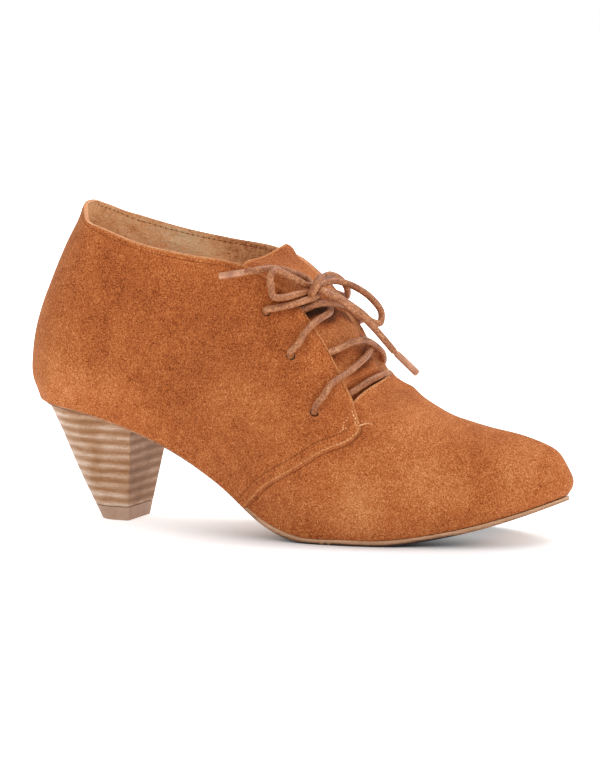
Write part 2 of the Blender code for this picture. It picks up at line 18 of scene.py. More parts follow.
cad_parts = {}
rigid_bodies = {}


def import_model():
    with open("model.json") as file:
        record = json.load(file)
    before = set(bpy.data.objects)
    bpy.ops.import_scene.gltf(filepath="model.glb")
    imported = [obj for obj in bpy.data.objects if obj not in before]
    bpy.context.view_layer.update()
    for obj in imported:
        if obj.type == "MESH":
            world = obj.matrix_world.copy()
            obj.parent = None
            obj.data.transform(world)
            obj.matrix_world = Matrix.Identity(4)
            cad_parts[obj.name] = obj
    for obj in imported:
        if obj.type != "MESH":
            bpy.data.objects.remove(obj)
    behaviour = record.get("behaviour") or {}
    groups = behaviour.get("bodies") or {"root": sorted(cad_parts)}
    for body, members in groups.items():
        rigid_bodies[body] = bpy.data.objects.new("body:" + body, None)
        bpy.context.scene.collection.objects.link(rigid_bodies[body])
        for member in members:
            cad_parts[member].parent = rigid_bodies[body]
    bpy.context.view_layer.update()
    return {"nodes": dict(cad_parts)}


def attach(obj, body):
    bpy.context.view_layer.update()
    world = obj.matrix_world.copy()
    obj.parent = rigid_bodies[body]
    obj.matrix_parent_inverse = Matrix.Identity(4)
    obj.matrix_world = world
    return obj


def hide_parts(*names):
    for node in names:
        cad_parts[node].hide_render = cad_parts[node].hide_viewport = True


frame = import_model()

print("nodes:", ", ".join(sorted(frame["nodes"])))

# %% [markdown]
# Shoemakers measure in millimetres from the back of the heel, so the tables below do too.
# Two helpers turn such points into the frame's metres and back.

# %% The shoe's own millimetres
MM = 0.001
SHOE_ORIGIN = np.array([122.9, -0.8, 0.0])


def place(point):
    """A point in the shoe's millimetres, as metres in the frame."""
    return (np.asarray(point, float) - SHOE_ORIGIN) * MM


def shoe_points(points):
    """Points of the frame, in the shoe's millimetres again."""
    return points / MM + SHOE_ORIGIN


print("the frame's origin lies", SHOE_ORIGIN[0], "mm in front of the heel's back")

# %% [markdown]
# The picture was taken with a long lens, a little above the floor and turned towards the toe.
# The camera comes first, because every choice after it is looked at through it.

# %% Camera
CAMERA_TURN, CAMERA_RISE = 22.5, 6.35       # degrees round from the outer side, and above the floor
CAMERA_DISTANCE = 1.4
CAMERA_LENS = 155.8
CAMERA_TARGET = Vector(place((124.8, 0.0, 63.5)))

turn, rise = math.radians(CAMERA_TURN), math.radians(CAMERA_RISE)
towards_camera = Vector((math.sin(turn) * math.cos(rise), -math.cos(turn) * math.cos(rise), math.sin(rise)))
bpy.ops.object.camera_add(
    location=CAMERA_TARGET + towards_camera * CAMERA_DISTANCE,
    rotation=(-towards_camera).to_track_quat("-Z", "Y").to_euler())
camera = bpy.context.active_object
camera.name = "camera"
camera.data.lens = CAMERA_LENS
camera.data.clip_end = 50.0
bpy.context.scene.camera = camera
print("camera at", [round(value, 3) for value in camera.location])

# %% [markdown]
# Materials come next, so that every piece can take its finish as it is made. They could be drawn by hand in
# the shader editor. In code, a few small helpers keep the nodes short: a colour as it is read off a screen, a
# node with its settings, and the few kinds of node that every finish here needs.

# %% Colours and nodes


def screen_colour(red, green, blue):
    """Screen values up to 255, as the linear colour that Blender uses."""
    linear = [((value / 255.0 + 0.055) / 1.055) ** 2.4 for value in (red, green, blue)]
    return (*linear, 1.0)


def add_node(tree, kind, inputs=None, **settings):
    """A node with its settings, whose inputs are set to a value or linked to another node's output."""
    node = tree.nodes.new(kind)
    for name, value in settings.items():
        setattr(node, name, value)
    for name, value in (inputs or {}).items():
        if isinstance(value, bpy.types.NodeSocket):
            tree.links.new(value, node.inputs[name])
        else:
            node.inputs[name].default_value = value
    return node


def add_ramp(tree, factor, stops):
    """A colour ramp with (position, screen colour) stops."""
    node = add_node(tree, "ShaderNodeValToRGB", {"Fac": factor})
    ramp = node.color_ramp
    while len(ramp.elements) < len(stops):
        ramp.elements.new(1.0)
    for element, (position, colour) in zip(ramp.elements, stops):
        element.position = position
        element.color = screen_colour(*colour)
    return node.outputs["Color"]


print("a screen value of 128 is", round(screen_colour(128, 128, 128)[0], 3), "in linear light")

# %% [markdown]
# Values are added, shared out and roughened with noise before they reach a ramp. These three steps repeat in
# every finish, so they are helpers too.

# %% Sums and noise


def add_math(tree, operation, first, second=0.0, clamp=False):
    node = add_node(tree, "ShaderNodeMath", {0: first, 1: second}, operation=operation, use_clamp=clamp)
    return node.outputs["Value"]


def add_sum(tree, first, first_share, second, second_share):
    """Two values added, each by its share."""
    return add_math(tree, "ADD", add_math(tree, "MULTIPLY", first, first_share),
                    add_math(tree, "MULTIPLY", second, second_share))


def add_swing(tree, value, share):
    """A value from 0 to 1 as a swing round 0, by its share."""
    return add_math(tree, "MULTIPLY", add_math(tree, "SUBTRACT", value, 0.5), share)


def add_noise(tree, coordinates, scale, detail, roughness=0.5, distortion=0.0):
    """Noise at one scale, or stretched by a scale for each axis."""
    if isinstance(scale, tuple):
        stretched = add_node(tree, "ShaderNodeMapping", {"Vector": coordinates, "Scale": scale})
        coordinates, scale = stretched.outputs["Vector"], 1.0
    return add_node(tree, "ShaderNodeTexNoise", {
        "Vector": coordinates, "Scale": scale, "Detail": detail, "Roughness": roughness,
        "Distortion": distortion}).outputs["Fac"]


# %% [markdown]
# Every finish starts from one fresh material and ends with a colour and a bump linked into its shader. What
# is the same all over a finish, such as its roughness, is set on the shader's own socket.

# %% Starting and finishing a material


def fresh_material(name, roughness, **sockets):
    """A material with its shader's plain values set, and its tree, shader and Object coordinates."""
    material = bpy.data.materials.new(name)
    material.use_nodes = True
    tree = material.node_tree
    shader = tree.nodes["Principled BSDF"]
    shader.inputs["Roughness"].default_value = roughness
    for socket, value in sockets.items():
        shader.inputs[socket.replace("_", " ")].default_value = value
    coordinates = add_node(tree, "ShaderNodeTexCoord").outputs["Object"]
    print("finish:", name)
    return material, tree, shader, coordinates


def finish_material(tree, shader, colour, height, strength, distance):
    """Link a colour, and a height as bump, into the shader."""
    tree.links.new(colour, shader.inputs["Base Color"])
    bump = add_node(tree, "ShaderNodeBump", {"Height": height, "Strength": strength, "Distance": distance})
    tree.links.new(bump.outputs["Normal"], shader.inputs["Normal"])


# %% [markdown]
# Suede, raw edges, lining and laces all show fine fibres over soft clouds of light and dark.
# That is one effect with different sizes, so it is a node group with named sockets. It puts out a shade
# for the colour ramp and a height for bump, both changing over the surface.

# %% The fibre group
COARSE_SCALE = 0.55                     # scale of the coarse fibres, as a part of the fine ones'
FINE_SHARE, COARSE_SHARE = 0.7, 0.3
fibres = bpy.data.node_groups.new("fibres", "ShaderNodeTree")
for name, kind, value in (
        ("Vector", "NodeSocketVector", None), ("Fibre Scale", "NodeSocketFloat", 1500.0),
        ("Cloud Scale", "NodeSocketFloat", 45.0), ("Fibre Share", "NodeSocketFloat", 0.5),
        ("Cloud Share", "NodeSocketFloat", 0.5)):
    socket = fibres.interface.new_socket(name, in_out="INPUT", socket_type=kind)
    if value is not None:
        socket.default_value = value
for name in ("Shade", "Height"):
    fibres.interface.new_socket(name, in_out="OUTPUT", socket_type="NodeSocketFloat")
given = add_node(fibres, "NodeGroupInput").outputs
fine = add_noise(fibres, given["Vector"], given["Fibre Scale"], 3.0, 0.7)
coarse_scale = add_math(fibres, "MULTIPLY", given["Fibre Scale"], COARSE_SCALE)
coarse = add_noise(fibres, given["Vector"], coarse_scale, 2.0, 0.6)
cloud = add_noise(fibres, given["Vector"], given["Cloud Scale"], 3.0, 0.55, 0.6)
nap = add_sum(fibres, fine, FINE_SHARE, coarse, COARSE_SHARE)
nap_part = add_swing(fibres, nap, given["Fibre Share"])
cloud_part = add_swing(fibres, cloud, given["Cloud Share"])
shade = add_math(fibres, "ADD", add_math(fibres, "ADD", nap_part, cloud_part), 0.5, clamp=True)
add_node(fibres, "NodeGroupOutput", {"Shade": shade, "Height": nap})
print("fibre group with", len(fibres.nodes), "nodes")


def add_fibres(tree, coordinates, fibre_scale, cloud_scale, fibre_share, cloud_share):
    """The group with its values, as a shade and a height."""
    node = add_node(tree, "ShaderNodeGroup", node_tree=fibres)
    tree.links.new(coordinates, node.inputs["Vector"])
    for name, value in (("Fibre Scale", fibre_scale), ("Cloud Scale", cloud_scale),
                        ("Fibre Share", fibre_share), ("Cloud Share", cloud_share)):
        node.inputs[name].default_value = value
    return node.outputs["Shade"], node.outputs["Height"]


# %% [markdown]
# Suede is the flesh side of a hide, brushed to a nap: matt, with light and dark fibres, soft patches
# where the nap lies another way, and a pale bloom where it is seen edge on, which is the shader's sheen.
# Three attributes of the mesh steer it. One holds the listed patches: partly the nap's own lighter and darker
# tone, partly painted light and painted shade. "rim" is the distance in mm from a cut edge, where loose
# fibres make it paler. "seam" is the distance from the quarter's edge, below 0 on the quarter: the vamp has a
# painted shadow at the foot of the edge, the edge itself is pale, and the quarter is a little darker along
# its stitch row.

# %% Suede
SEAM_ROW = 4.6                          # mm from the quarter's edge to its stitches
BRUSHED_SHARE = 0.32                    # how much the nap's brushed streaks change the shade


def add_mix(tree, factor, first, second):
    node = add_node(tree, "ShaderNodeMix", {0: factor, 6: first, 7: second}, data_type="RGBA")
    return node.outputs[2]


def add_attribute(tree, name):
    """A number that the mesh keeps for each vertex."""
    return add_node(tree, "ShaderNodeAttribute", attribute_name=name).outputs["Fac"]


def add_tone_and_painted_light(tree, shade):
    """The shade with the listed lightness that the mesh keeps for each vertex: partly the thing's own tone,
    partly painted light and painted shade.
    """
    return add_math(tree, "ADD", shade, add_attribute(tree, "tone_and_painted_light"), clamp=True)


def add_band(tree, value, centre, reach):
    """1 where the value is at the centre, falling straight to 0 at the reach on both sides."""
    off = add_math(tree, "ABSOLUTE", add_math(tree, "SUBTRACT", value, centre))
    return add_math(tree, "SUBTRACT", 1.0, add_math(tree, "DIVIDE", off, reach), clamp=True)


suede, tree, shader, coordinates = fresh_material(
    "suede", 0.95, Specular_IOR_Level=0.12, Sheen_Weight=0.3, Sheen_Roughness=0.45,
    Sheen_Tint=screen_colour(255, 205, 160))
shade, height = add_fibres(tree, coordinates, 2300.0, 34.0, 2.6, 0.25)
brushed = add_noise(tree, coordinates, 150.0, 3.0, 0.6, 0.8)
# the listed lightness: the nap's own tone, and painted light and painted shade
shade = add_tone_and_painted_light(tree, add_math(tree, "ADD", shade, add_swing(tree, brushed, BRUSHED_SHARE)))
rim, seam = add_attribute(tree, "rim"), add_attribute(tree, "seam")
colour = add_ramp(tree, shade, [
    (0.0, (44, 20, 9)), (0.16, (110, 50, 20)), (0.36, (152, 76, 34)), (0.52, (178, 98, 50)),
    (0.70, (198, 120, 67)), (0.95, (222, 160, 108))])
pale = add_ramp(tree, shade, [(0.25, (190, 116, 62)), (0.75, (232, 174, 118))])
dark = add_ramp(tree, shade, [(0.25, (72, 30, 10)), (0.75, (112, 56, 24))])
EDGE_BANDS = [
    # distance, its middle and reach in mm, share, tint
    (rim, 0.0, 1.1, 0.75, pale),
    (seam, -0.5, 0.7, 0.5, pale),
    # painted shadow on the vamp at the foot of the quarter's edge
    (seam, 0.3, 0.7, 0.55, dark),
    (seam, -SEAM_ROW, 0.7, 0.2, dark),
]
for distance, middle, reach, share, tint in EDGE_BANDS:
    band = add_math(tree, "MULTIPLY", add_band(tree, distance, middle, reach), share)
    colour = add_mix(tree, band, colour, tint)
finish_material(tree, shader, colour, height, 0.55, 0.0006)

# %% [markdown]
# The cut edge of the hide and of the folded collar shows a paler, peach-coloured core.

# %% Raw edges
raw_edge, tree, shader, coordinates = fresh_material(
    "raw_edge", 0.9, Specular_IOR_Level=0.2, Sheen_Weight=0.2)
shade, height = add_fibres(tree, coordinates, 1700.0, 120.0, 1.2, 0.5)
# the listed lightness paints shade on the far side's rims
colour = add_ramp(tree, add_tone_and_painted_light(tree, shade), [
    (0.05, (92, 50, 26)), (0.3, (180, 112, 68)), (0.55, (216, 152, 104)), (0.85, (240, 194, 150))])
finish_material(tree, shader, colour, height, 0.5, 0.0005)

# %% [markdown]
# The lining is thin tan leather: smoother than suede, with fine wrinkles where it is pulled round the back.

# %% Lining leather
lining, tree, shader, coordinates = fresh_material("lining_leather", 0.62, Specular_IOR_Level=0.3)
shade, height = add_fibres(tree, coordinates, 900.0, 70.0, 1.1, 0.35)
wrinkles = add_noise(tree, coordinates, (330.0, 330.0, 760.0), 4.0, 0.65, 1.4)
# the listed lightness paints light in the lining's middle, and shade further forward, in the back fold and
# under its rim
lining_tone_and_painted_light = add_tone_and_painted_light(tree, add_sum(tree, shade, 0.6, wrinkles, 0.4))
colour = add_ramp(tree, lining_tone_and_painted_light, [(0.3, (182, 110, 62)), (0.5, (250, 190, 134)), (0.68, (255, 222, 176))])
both = add_math(tree, "ADD", height, add_math(tree, "MULTIPLY", wrinkles, 2.0))
finish_material(tree, shader, colour, both, 0.8, 0.0006)

# %% [markdown]
# The lace is a round waxed cord. Its braid follows the cord, so the tubes below carry a UV map: U runs
# once round and V along in turns of the same length. Two slanted waves crossing make the braid.

# %% Waxed lace
LACE_STRANDS = 7.0
BRAID_SHARE = 0.08                      # the wax hides most of the braid's shading
waxed, tree, shader, coordinates = fresh_material(
    "waxed_lace", 0.48, Specular_IOR_Level=0.4, Coat_Weight=0.08, Coat_Roughness=0.35)
shade, height = add_fibres(tree, coordinates, 1700.0, 160.0, 1.5, 0.5)
around = add_node(tree, "ShaderNodeSeparateXYZ", {
    "Vector": add_node(tree, "ShaderNodeUVMap", uv_map="UVMap").outputs["UV"]}).outputs
waves = []
for slant in (1.0, -1.0):
    lean = add_sum(tree, around["X"], LACE_STRANDS, around["Y"], slant * LACE_STRANDS)
    wave = add_math(tree, "SINE", add_math(tree, "MULTIPLY", lean, 2.0 * math.pi))
    waves.append(add_math(tree, "ADD", add_math(tree, "MULTIPLY", wave, 0.5), 0.5))
braid = add_math(tree, "MAXIMUM", waves[0], waves[1])
colour = add_ramp(tree, add_sum(tree, shade, 1.0 - BRAID_SHARE, braid, BRAID_SHARE), [
    (0.22, (90, 46, 22)), (0.46, (152, 90, 53)), (0.62, (186, 124, 80)), (0.85, (236, 190, 148))])
both = add_math(tree, "ADD", add_math(tree, "MULTIPLY", braid, 0.35), height)
finish_material(tree, shader, colour, both, 0.4, 0.0004)

# %% [markdown]
# The lace's tips are bound in a clear pinkish film, and the seams are sewn with two threads: one the
# colour of the suede, and a pale one at the corner of the throat.

# %% Lace tips and threads
film, tree, shader, coordinates = fresh_material(
    "lace_tip_film", 0.32, Specular_IOR_Level=0.5, Coat_Weight=0.4, Coat_Roughness=0.2)
shade, height = add_fibres(tree, coordinates, 900.0, 220.0, 0.5, 0.8)
colour = add_ramp(tree, shade, [(0.3, (150, 94, 64)), (0.55, (190, 130, 94)), (0.8, (220, 168, 132))])
finish_material(tree, shader, colour, height, 0.15, 0.0004)


def thread_material(name, dark, light):
    material, tree, shader, coordinates = fresh_material(name, 0.85, Specular_IOR_Level=0.08)
    shade, height = add_fibres(tree, coordinates, 2200.0, 300.0, 1.2, 0.6)
    finish_material(tree, shader, add_ramp(tree, shade, [(0.3, dark), (0.7, light)]), height, 0.4, 0.0003)
    return material


brown_thread = thread_material("brown_thread", (112, 56, 26), (156, 86, 44))
pale_thread = thread_material("pale_thread", (196, 130, 82), (242, 192, 144))

# %% [markdown]
# The heel is wrapped to look like stacked leather: bands a little over 4 mm high, each shading from
# light to dark, slightly wavy, with a fine grain along them. A cosine of the height makes the bands.

# %% Heel stack
BAND_HEIGHT = 4.28 * MM
FIRST_DARK_BAND = 9.4 * MM
BAND_SWAY = 2.2 * MM                    # how far the bands wander up and down
BAND_SHARE, GRAIN_SHARE = 0.16, 0.55
stack, tree, shader, coordinates = fresh_material("stacked_leather", 0.55, Specular_IOR_Level=0.2)
grain = add_noise(tree, coordinates, (140.0, 140.0, 1500.0), 4.0, 0.65)
shade, height = add_fibres(tree, coordinates, 1600.0, 60.0, 0.5, 0.6)
sway = add_noise(tree, coordinates, 34.0, 1.0)
level = add_math(tree, "ADD", add_node(tree, "ShaderNodeSeparateXYZ", {"Vector": coordinates}).outputs["Z"],
                 add_swing(tree, sway, BAND_SWAY))
turns = add_math(tree, "DIVIDE", add_math(tree, "SUBTRACT", level, FIRST_DARK_BAND), BAND_HEIGHT)
band = add_math(tree, "COSINE", add_math(tree, "MULTIPLY", turns, 2.0 * math.pi))
band = add_math(tree, "SUBTRACT", 0.5, add_math(tree, "MULTIPLY", band, BAND_SHARE))
band = add_math(tree, "ADD", band, add_swing(tree, grain, GRAIN_SHARE))
band = add_math(tree, "ADD", band, add_math(tree, "SUBTRACT", shade, 0.5))
# the listed lightness: a painted highlight on the heel's back and painted shade on its breast
colour = add_ramp(tree, add_tone_and_painted_light(tree, band), [
    (0.1, (118, 80, 48)), (0.4, (154, 110, 74)), (0.65, (183, 147, 119)), (0.95, (222, 202, 186))])
finish_material(tree, shader, colour, add_math(tree, "ADD", grain, height), 0.2, 0.0003)

# %% [markdown]
# The top lift is a plain moulded piece. The sole's edge is leather, streaked along its length.

# %% Top lift and sole leather
top_lift, tree, shader, coordinates = fresh_material("top_lift", 0.6, Specular_IOR_Level=0.3)
shade, height = add_fibres(tree, coordinates, 1300.0, 90.0, 0.6, 0.4)
colour = add_ramp(tree, shade, [(0.3, (155, 121, 101)), (0.55, (180, 147, 125)), (0.8, (196, 167, 145))])
finish_material(tree, shader, colour, height, 0.2, 0.0003)

sole_leather, tree, shader, coordinates = fresh_material("sole_leather", 0.55, Specular_IOR_Level=0.35)
shade, height = add_fibres(tree, coordinates, 1100.0, 60.0, 0.7, 0.6)
streaks = add_noise(tree, coordinates, (60.0, 60.0, 2200.0), 3.0)
# the listed lightness: a painted shadow along the foot of the sole's edge, most at the ball
colour = add_ramp(tree, add_tone_and_painted_light(tree, add_sum(tree, shade, 0.5, streaks, 0.5)), [
    (0.02, (44, 28, 20)), (0.3, (150, 106, 74)), (0.5, (198, 152, 116)), (0.7, (222, 182, 146))])
finish_material(tree, shader, colour, add_math(tree, "ADD", streaks, height), 0.25, 0.0003)
print("materials:", len(bpy.data.materials))

# %% [markdown]
# Every piece is picked before an operator works on it, and kept when it is done. Operators act on whatever is
# selected, and the frame comes in selected, so picking first deselects everything.

# %% Picking and keeping a piece


def pick(piece):
    """Select one piece alone and make it active."""
    if bpy.context.object and bpy.context.object.mode != "OBJECT":
        bpy.ops.object.mode_set(mode="OBJECT")
    bpy.ops.object.select_all(action="DESELECT")
    piece.select_set(True)
    bpy.context.view_layer.objects.active = piece


def keep(piece, slot, *nodes):
    """Let the finished piece ride on the shoe, and stand for its CAD nodes."""
    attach(piece, "root")
    if nodes:
        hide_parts(*nodes)
    triangles = sum(len(face.vertices) - 2 for face in piece.data.polygons)
    print(f"{piece.name}: {triangles} triangles")
    return piece


print("solids to dress:", len(frame["nodes"]))

# %% [markdown]
# Cords are tubes that follow a given route. A smooth curve runs through the route's points, and a ring of
# points is carried along it without twisting. The UV map is what the braid follows.

# %% Cord routes
LACE_RADIUS = 1.5
CORD_SIDES = 14


def steps_of(line):
    """The lengths of a line's steps."""
    return np.linalg.norm(np.diff(line, axis=0), axis=1)


def lengths_along(line):
    """The length from a line's start to each of its points."""
    return np.concatenate([[0.0], np.cumsum(steps_of(line))])


def smooth_route(route, spacing):
    """Evenly spaced points on a smooth curve through a route."""
    route = np.asarray(route, float)
    knots = lengths_along(route)
    slopes = np.gradient(route, knots, axis=0)
    count = max(3, int(round(knots[-1] / spacing)))
    found = []
    for at in np.linspace(0.0, knots[-1], count + 1):
        index = int(np.clip(np.searchsorted(knots, at) - 1, 0, len(knots) - 2))
        span = knots[index + 1] - knots[index]
        part = (at - knots[index]) / span
        start, end = route[index], route[index + 1]
        leave, arrive = slopes[index] * span, slopes[index + 1] * span
        rise = part * part * (3.0 - 2.0 * part)
        bend = part * (1.0 - part)
        found.append(start + (end - start) * rise + bend * ((1.0 - part) * leave - part * arrive))
    return np.array(found)


straight = smooth_route([(0.0, 0.0, 0.0), (4.0, 0.0, 0.0), (10.0, 0.0, 0.0)], 1.0)
print("a straight 10 mm route has", len(straight), "points at 1 mm")

# %% [markdown]
# The tube itself could be a curve with a bevel. As a mesh it keeps its UV map, whose V runs on evenly along
# the cord, and it can be rounded or squeezed at its ends.

# %% Cord tubes


def tube_mesh(centres, radii):
    """Points, faces and UVs of a tube with closed ends."""
    along = np.gradient(centres, axis=0)
    along /= np.linalg.norm(along, axis=1)[:, None]
    across = np.cross(along[0], [0.0, 0.0, 1.0])
    points, faces, corners = [], [], []
    travelled = lengths_along(centres)
    length_round = 2.0 * math.pi * np.mean(radii)
    for centre, tangent, radius in zip(centres, along, radii):
        across = across - tangent * np.dot(across, tangent)
        across /= np.linalg.norm(across)
        other = np.cross(tangent, across)
        for k in range(CORD_SIDES):
            angle = 2.0 * math.pi * k / CORD_SIDES
            points.append(centre + radius * (math.cos(angle) * across + math.sin(angle) * other))
    for i in range(len(centres) - 1):
        for k in range(CORD_SIDES):
            near, far = i * CORD_SIDES, (i + 1) * CORD_SIDES
            follow = (k + 1) % CORD_SIDES
            faces.append((near + k, near + follow, far + follow, far + k))
            low, high = travelled[i] / length_round, travelled[i + 1] / length_round
            left, right = k / CORD_SIDES, (k + 1) / CORD_SIDES
            corners += [(left, low), (right, low), (right, high), (left, high)]
    for ring, ordered in ((0, -1), (len(centres) - 1, 1)):
        cap = list(range(ring * CORD_SIDES, (ring + 1) * CORD_SIDES))[::ordered]
        faces.append(tuple(cap))
        corners += [(0.5, travelled[ring] / length_round)] * CORD_SIDES
    return points, faces, corners


def make_cords(name, routes, material, radius=LACE_RADIUS, spacing=0.7, tip=0.01, slim=(0.0, 1.0)):
    """One piece made of a tube for each route, in the shoe's millimetres. The ends are rounded over the tip.
    Slim is a length at the far end, and the part of the radius that is left there."""
    points, faces, corners, lines = [], [], [], []
    for route in routes:
        centres = smooth_route(route, spacing)
        ends = np.linspace(0.0, 1.0, len(centres)) * steps_of(centres).sum()
        from_end = np.minimum(ends, ends[-1] - ends)
        radii = radius * np.sqrt(np.clip(1.0 - (1.0 - np.clip(from_end / tip, 0.0, 1.0)) ** 2, 0.3, 1.0))
        radii[ends[-1] - ends < slim[0]] *= slim[1]
        more_points, more_faces, more_corners = tube_mesh(centres, radii)
        faces += [tuple(i + len(points) for i in face) for face in more_faces]
        points += [place(point) for point in more_points]
        corners += more_corners
        lines.append(np.array([place(centre) for centre in centres]))
    mesh = bpy.data.meshes.new(name)
    mesh.from_pydata([tuple(point) for point in points], [], faces)
    mesh.uv_layers.new(name="UVMap").data.foreach_set("uv", np.array(corners).ravel())
    mesh.materials.append(material)
    piece = bpy.data.objects.new(name, mesh)
    bpy.context.scene.collection.objects.link(piece)
    pick(piece)
    bpy.ops.object.shade_smooth_by_angle(angle=math.radians(60))
    return piece, lines


print("the lace is", round(2.0 * math.pi * LACE_RADIUS, 1), "mm round")

# %% [markdown]
# The bow: two loops and two ends leave the knot. Their routes repeat those of the solids. Each end runs on
# inside its bound tip, squeezed thinner there, so the cords have their real lengths.

# %% Bow loops and ends
BOW_ROUTES = {
    "lace_loop_near": [
        (132.6, -14.0, 105.7), (130.0, -18.0, 108.1), (127.0, -21.8, 110.4), (124.4, -25.2, 112.0),
        (123.5, -28.4, 110.5), (123.9, -29.4, 105.8), (125.3, -29.4, 101.3), (128.6, -26.5, 101.0),
        (131.7, -21.5, 101.9), (133.5, -14.6, 102.1)],
    "lace_loop_far": [
        (137.4, -3.8, 105.5), (140.1, 0.7, 106.2), (143.6, 5.0, 105.1), (148.8, 8.5, 102.2),
        (154.2, 9.8, 97.9), (158.2, 9.5, 92.5), (158.3, 7.5, 88.4), (156.3, 4.5, 89.0),
        (152.4, 0.5, 93.3), (147.3, -2.5, 97.5), (143.0, -4.3, 100.5), (139.8, -5.5, 102.2)],
    "lace_end_near": [
        (130.3, -6.0, 107.4), (126.9, -9.5, 109.5), (122.9, -14.0, 111.4), (119.5, -19.0, 112.3),
        (117.5, -24.0, 112.2), (115.2, -27.0, 111.7), (113.1, -28.0, 111.25), (111.9, -28.25, 111.1),
        (106.0, -28.5, 110.1), (100.6, -28.8, 109.2)],
    "lace_end_far": [
        (139.8, -12.6, 103.4), (145.2, -11.0, 100.5), (150.6, -8.0, 96.5), (155.3, -4.5, 91.9),
        (159.3, -2.0, 87.2), (163.3, 0.0, 82.1), (167.2, 1.5, 77.2), (172.0, 2.9, 72.5), (176.3, 3.9, 68.3)],
}
AGLETS = {
    "aglet_near": ((111.9, -28.25, 111.1), (100.0, -28.8, 109.1)),
    "aglet_far": ((167.7, 1.8, 76.7), (176.8, 4.0, 67.8)),
}
AGLET_RADIUS = 1.5
SLIM = 0.75                             # the lace is squeezed to this part of its radius in a tip
AGLET_OF = {"lace_end_near": "aglet_near", "lace_end_far": "aglet_far"}

for name, ends in AGLETS.items():
    piece, _ = make_cords(name + "_film", [ends], film, AGLET_RADIUS, 0.5, 0.5)
    keep(piece, "lace_tip", name)
for name, route in BOW_ROUTES.items():
    bound = math.dist(*AGLETS[AGLET_OF[name]]) if name in AGLET_OF else 0.0
    piece, lines = make_cords(name + "_cord", [route], waxed, slim=(bound, SLIM))
    keep(piece, "waxed_lace", name)

# %% [markdown]
# The lace runs out of each eyelet, across the open throat, under the other quarter's edge and out of the
# next eyelet up. It starts as a straight bar at the throat's foot. Two runs mirror each other: the one that
# leaves the far side's holes lies on top. Each route passes through the punched holes from inside.

# %% Lacing
RUN_ONE = [
    (143.5, -28.6, 53.3), (144.7, -32.4, 54.5), (146.1, -34.4, 57.1), (148.2, -32.0, 60.5),
    (149.9, -28.3, 65.0), (153.4, -20.2, 69.1), (154.6, -8.0, 72.3), (154.4, 4.2, 75.8),
    (152.4, 10.8, 77.6), (149.6, 15.0, 79.6), (146.0, 16.4, 81.0), (139.5, 17.6, 81.8),
    (132.6, 18.4, 81.6), (132.3, 22.8, 81.7), (133.2, 25.4, 83.3), (137.0, 25.2, 85.2),
    (141.5, 23.0, 87.0), (145.0, 20.2, 88.2), (145.0, 14.5, 90.8), (143.2, 7.0, 94.6),
    (141.2, -3.0, 97.0), (137.4, -12.4, 97.2), (133.4, -17.2, 95.2), (127.0, -20.6, 92.9),
    (119.3, -21.3, 93.4), (120.0, -25.1, 94.6), (121.2, -27.5, 95.8), (124.2, -27.8, 96.3),
    (127.8, -26.0, 97.0), (134.9, -18.9, 99.3), (137.3, -11.9, 100.9), (136.2, -9.0, 102.4)]
RUN_TWO = [
    (144.6, 22.9, 57.6), (144.6, 27.1, 58.5), (145.2, 29.8, 60.2), (147.2, 28.8, 64.0),
    (150.8, 26.0, 67.6), (154.8, 20.8, 70.8), (156.0, 16.5, 74.6), (154.8, 11.8, 78.0),
    (153.4, 4.0, 81.0), (150.6, -7.0, 80.8), (146.8, -16.0, 78.4), (143.0, -19.5, 77.2),
    (138.0, -22.3, 76.6), (131.6, -24.6, 75.8), (132.4, -28.4, 77.0), (133.5, -30.8, 79.0),
    (136.1, -30.3, 81.6), (138.0, -26.5, 86.6), (140.2, -20.5, 90.6), (141.4, -13.0, 92.6),
    (140.6, -6.0, 93.2), (138.6, 0.0, 93.8),
    (136.0, 6.0, 96.4), (134.2, 11.5, 98.4), (131.5, 15.5, 99.0), (127.0, 17.0, 98.6),
    (119.6, 17.2, 98.3), (120.0, 21.4, 98.3), (121.6, 24.6, 99.6), (126.0, 25.8, 100.0),
    (132.5, 24.6, 98.6), (137.4, 22.0, 98.0), (138.8, 19.2, 101.2), (137.4, 13.5, 106.2),
    (135.6, 7.0, 108.3), (135.0, 0.5, 107.4), (135.0, -5.0, 105.2)]
BAR = [
    (143.5, -28.6, 53.3), (149.0, -22.5, 57.0), (154.6, -15.0, 61.2), (157.7, -4.5, 64.6),
    (160.4, 6.0, 66.6), (160.8, 11.5, 66.8), (157.0, 16.0, 65.4), (150.0, 19.0, 62.4),
    (144.6, 22.9, 57.6)]

lacing, lacing_lines = make_cords("lacing", [RUN_ONE, RUN_TWO], waxed)
keep(lacing, "waxed_lace", "lace_crossings")
lace_bar, bar_lines = make_cords("lacing_bar", [BAR], waxed)
keep(lace_bar, "waxed_lace", "lace_bar")

# %% [markdown]
# A bow's knot is one band of lace wrapped round the legs of the loops. The band goes a little more than once
# round an axis along the bow. The legs are short cords that pass through it and end inside the cords.

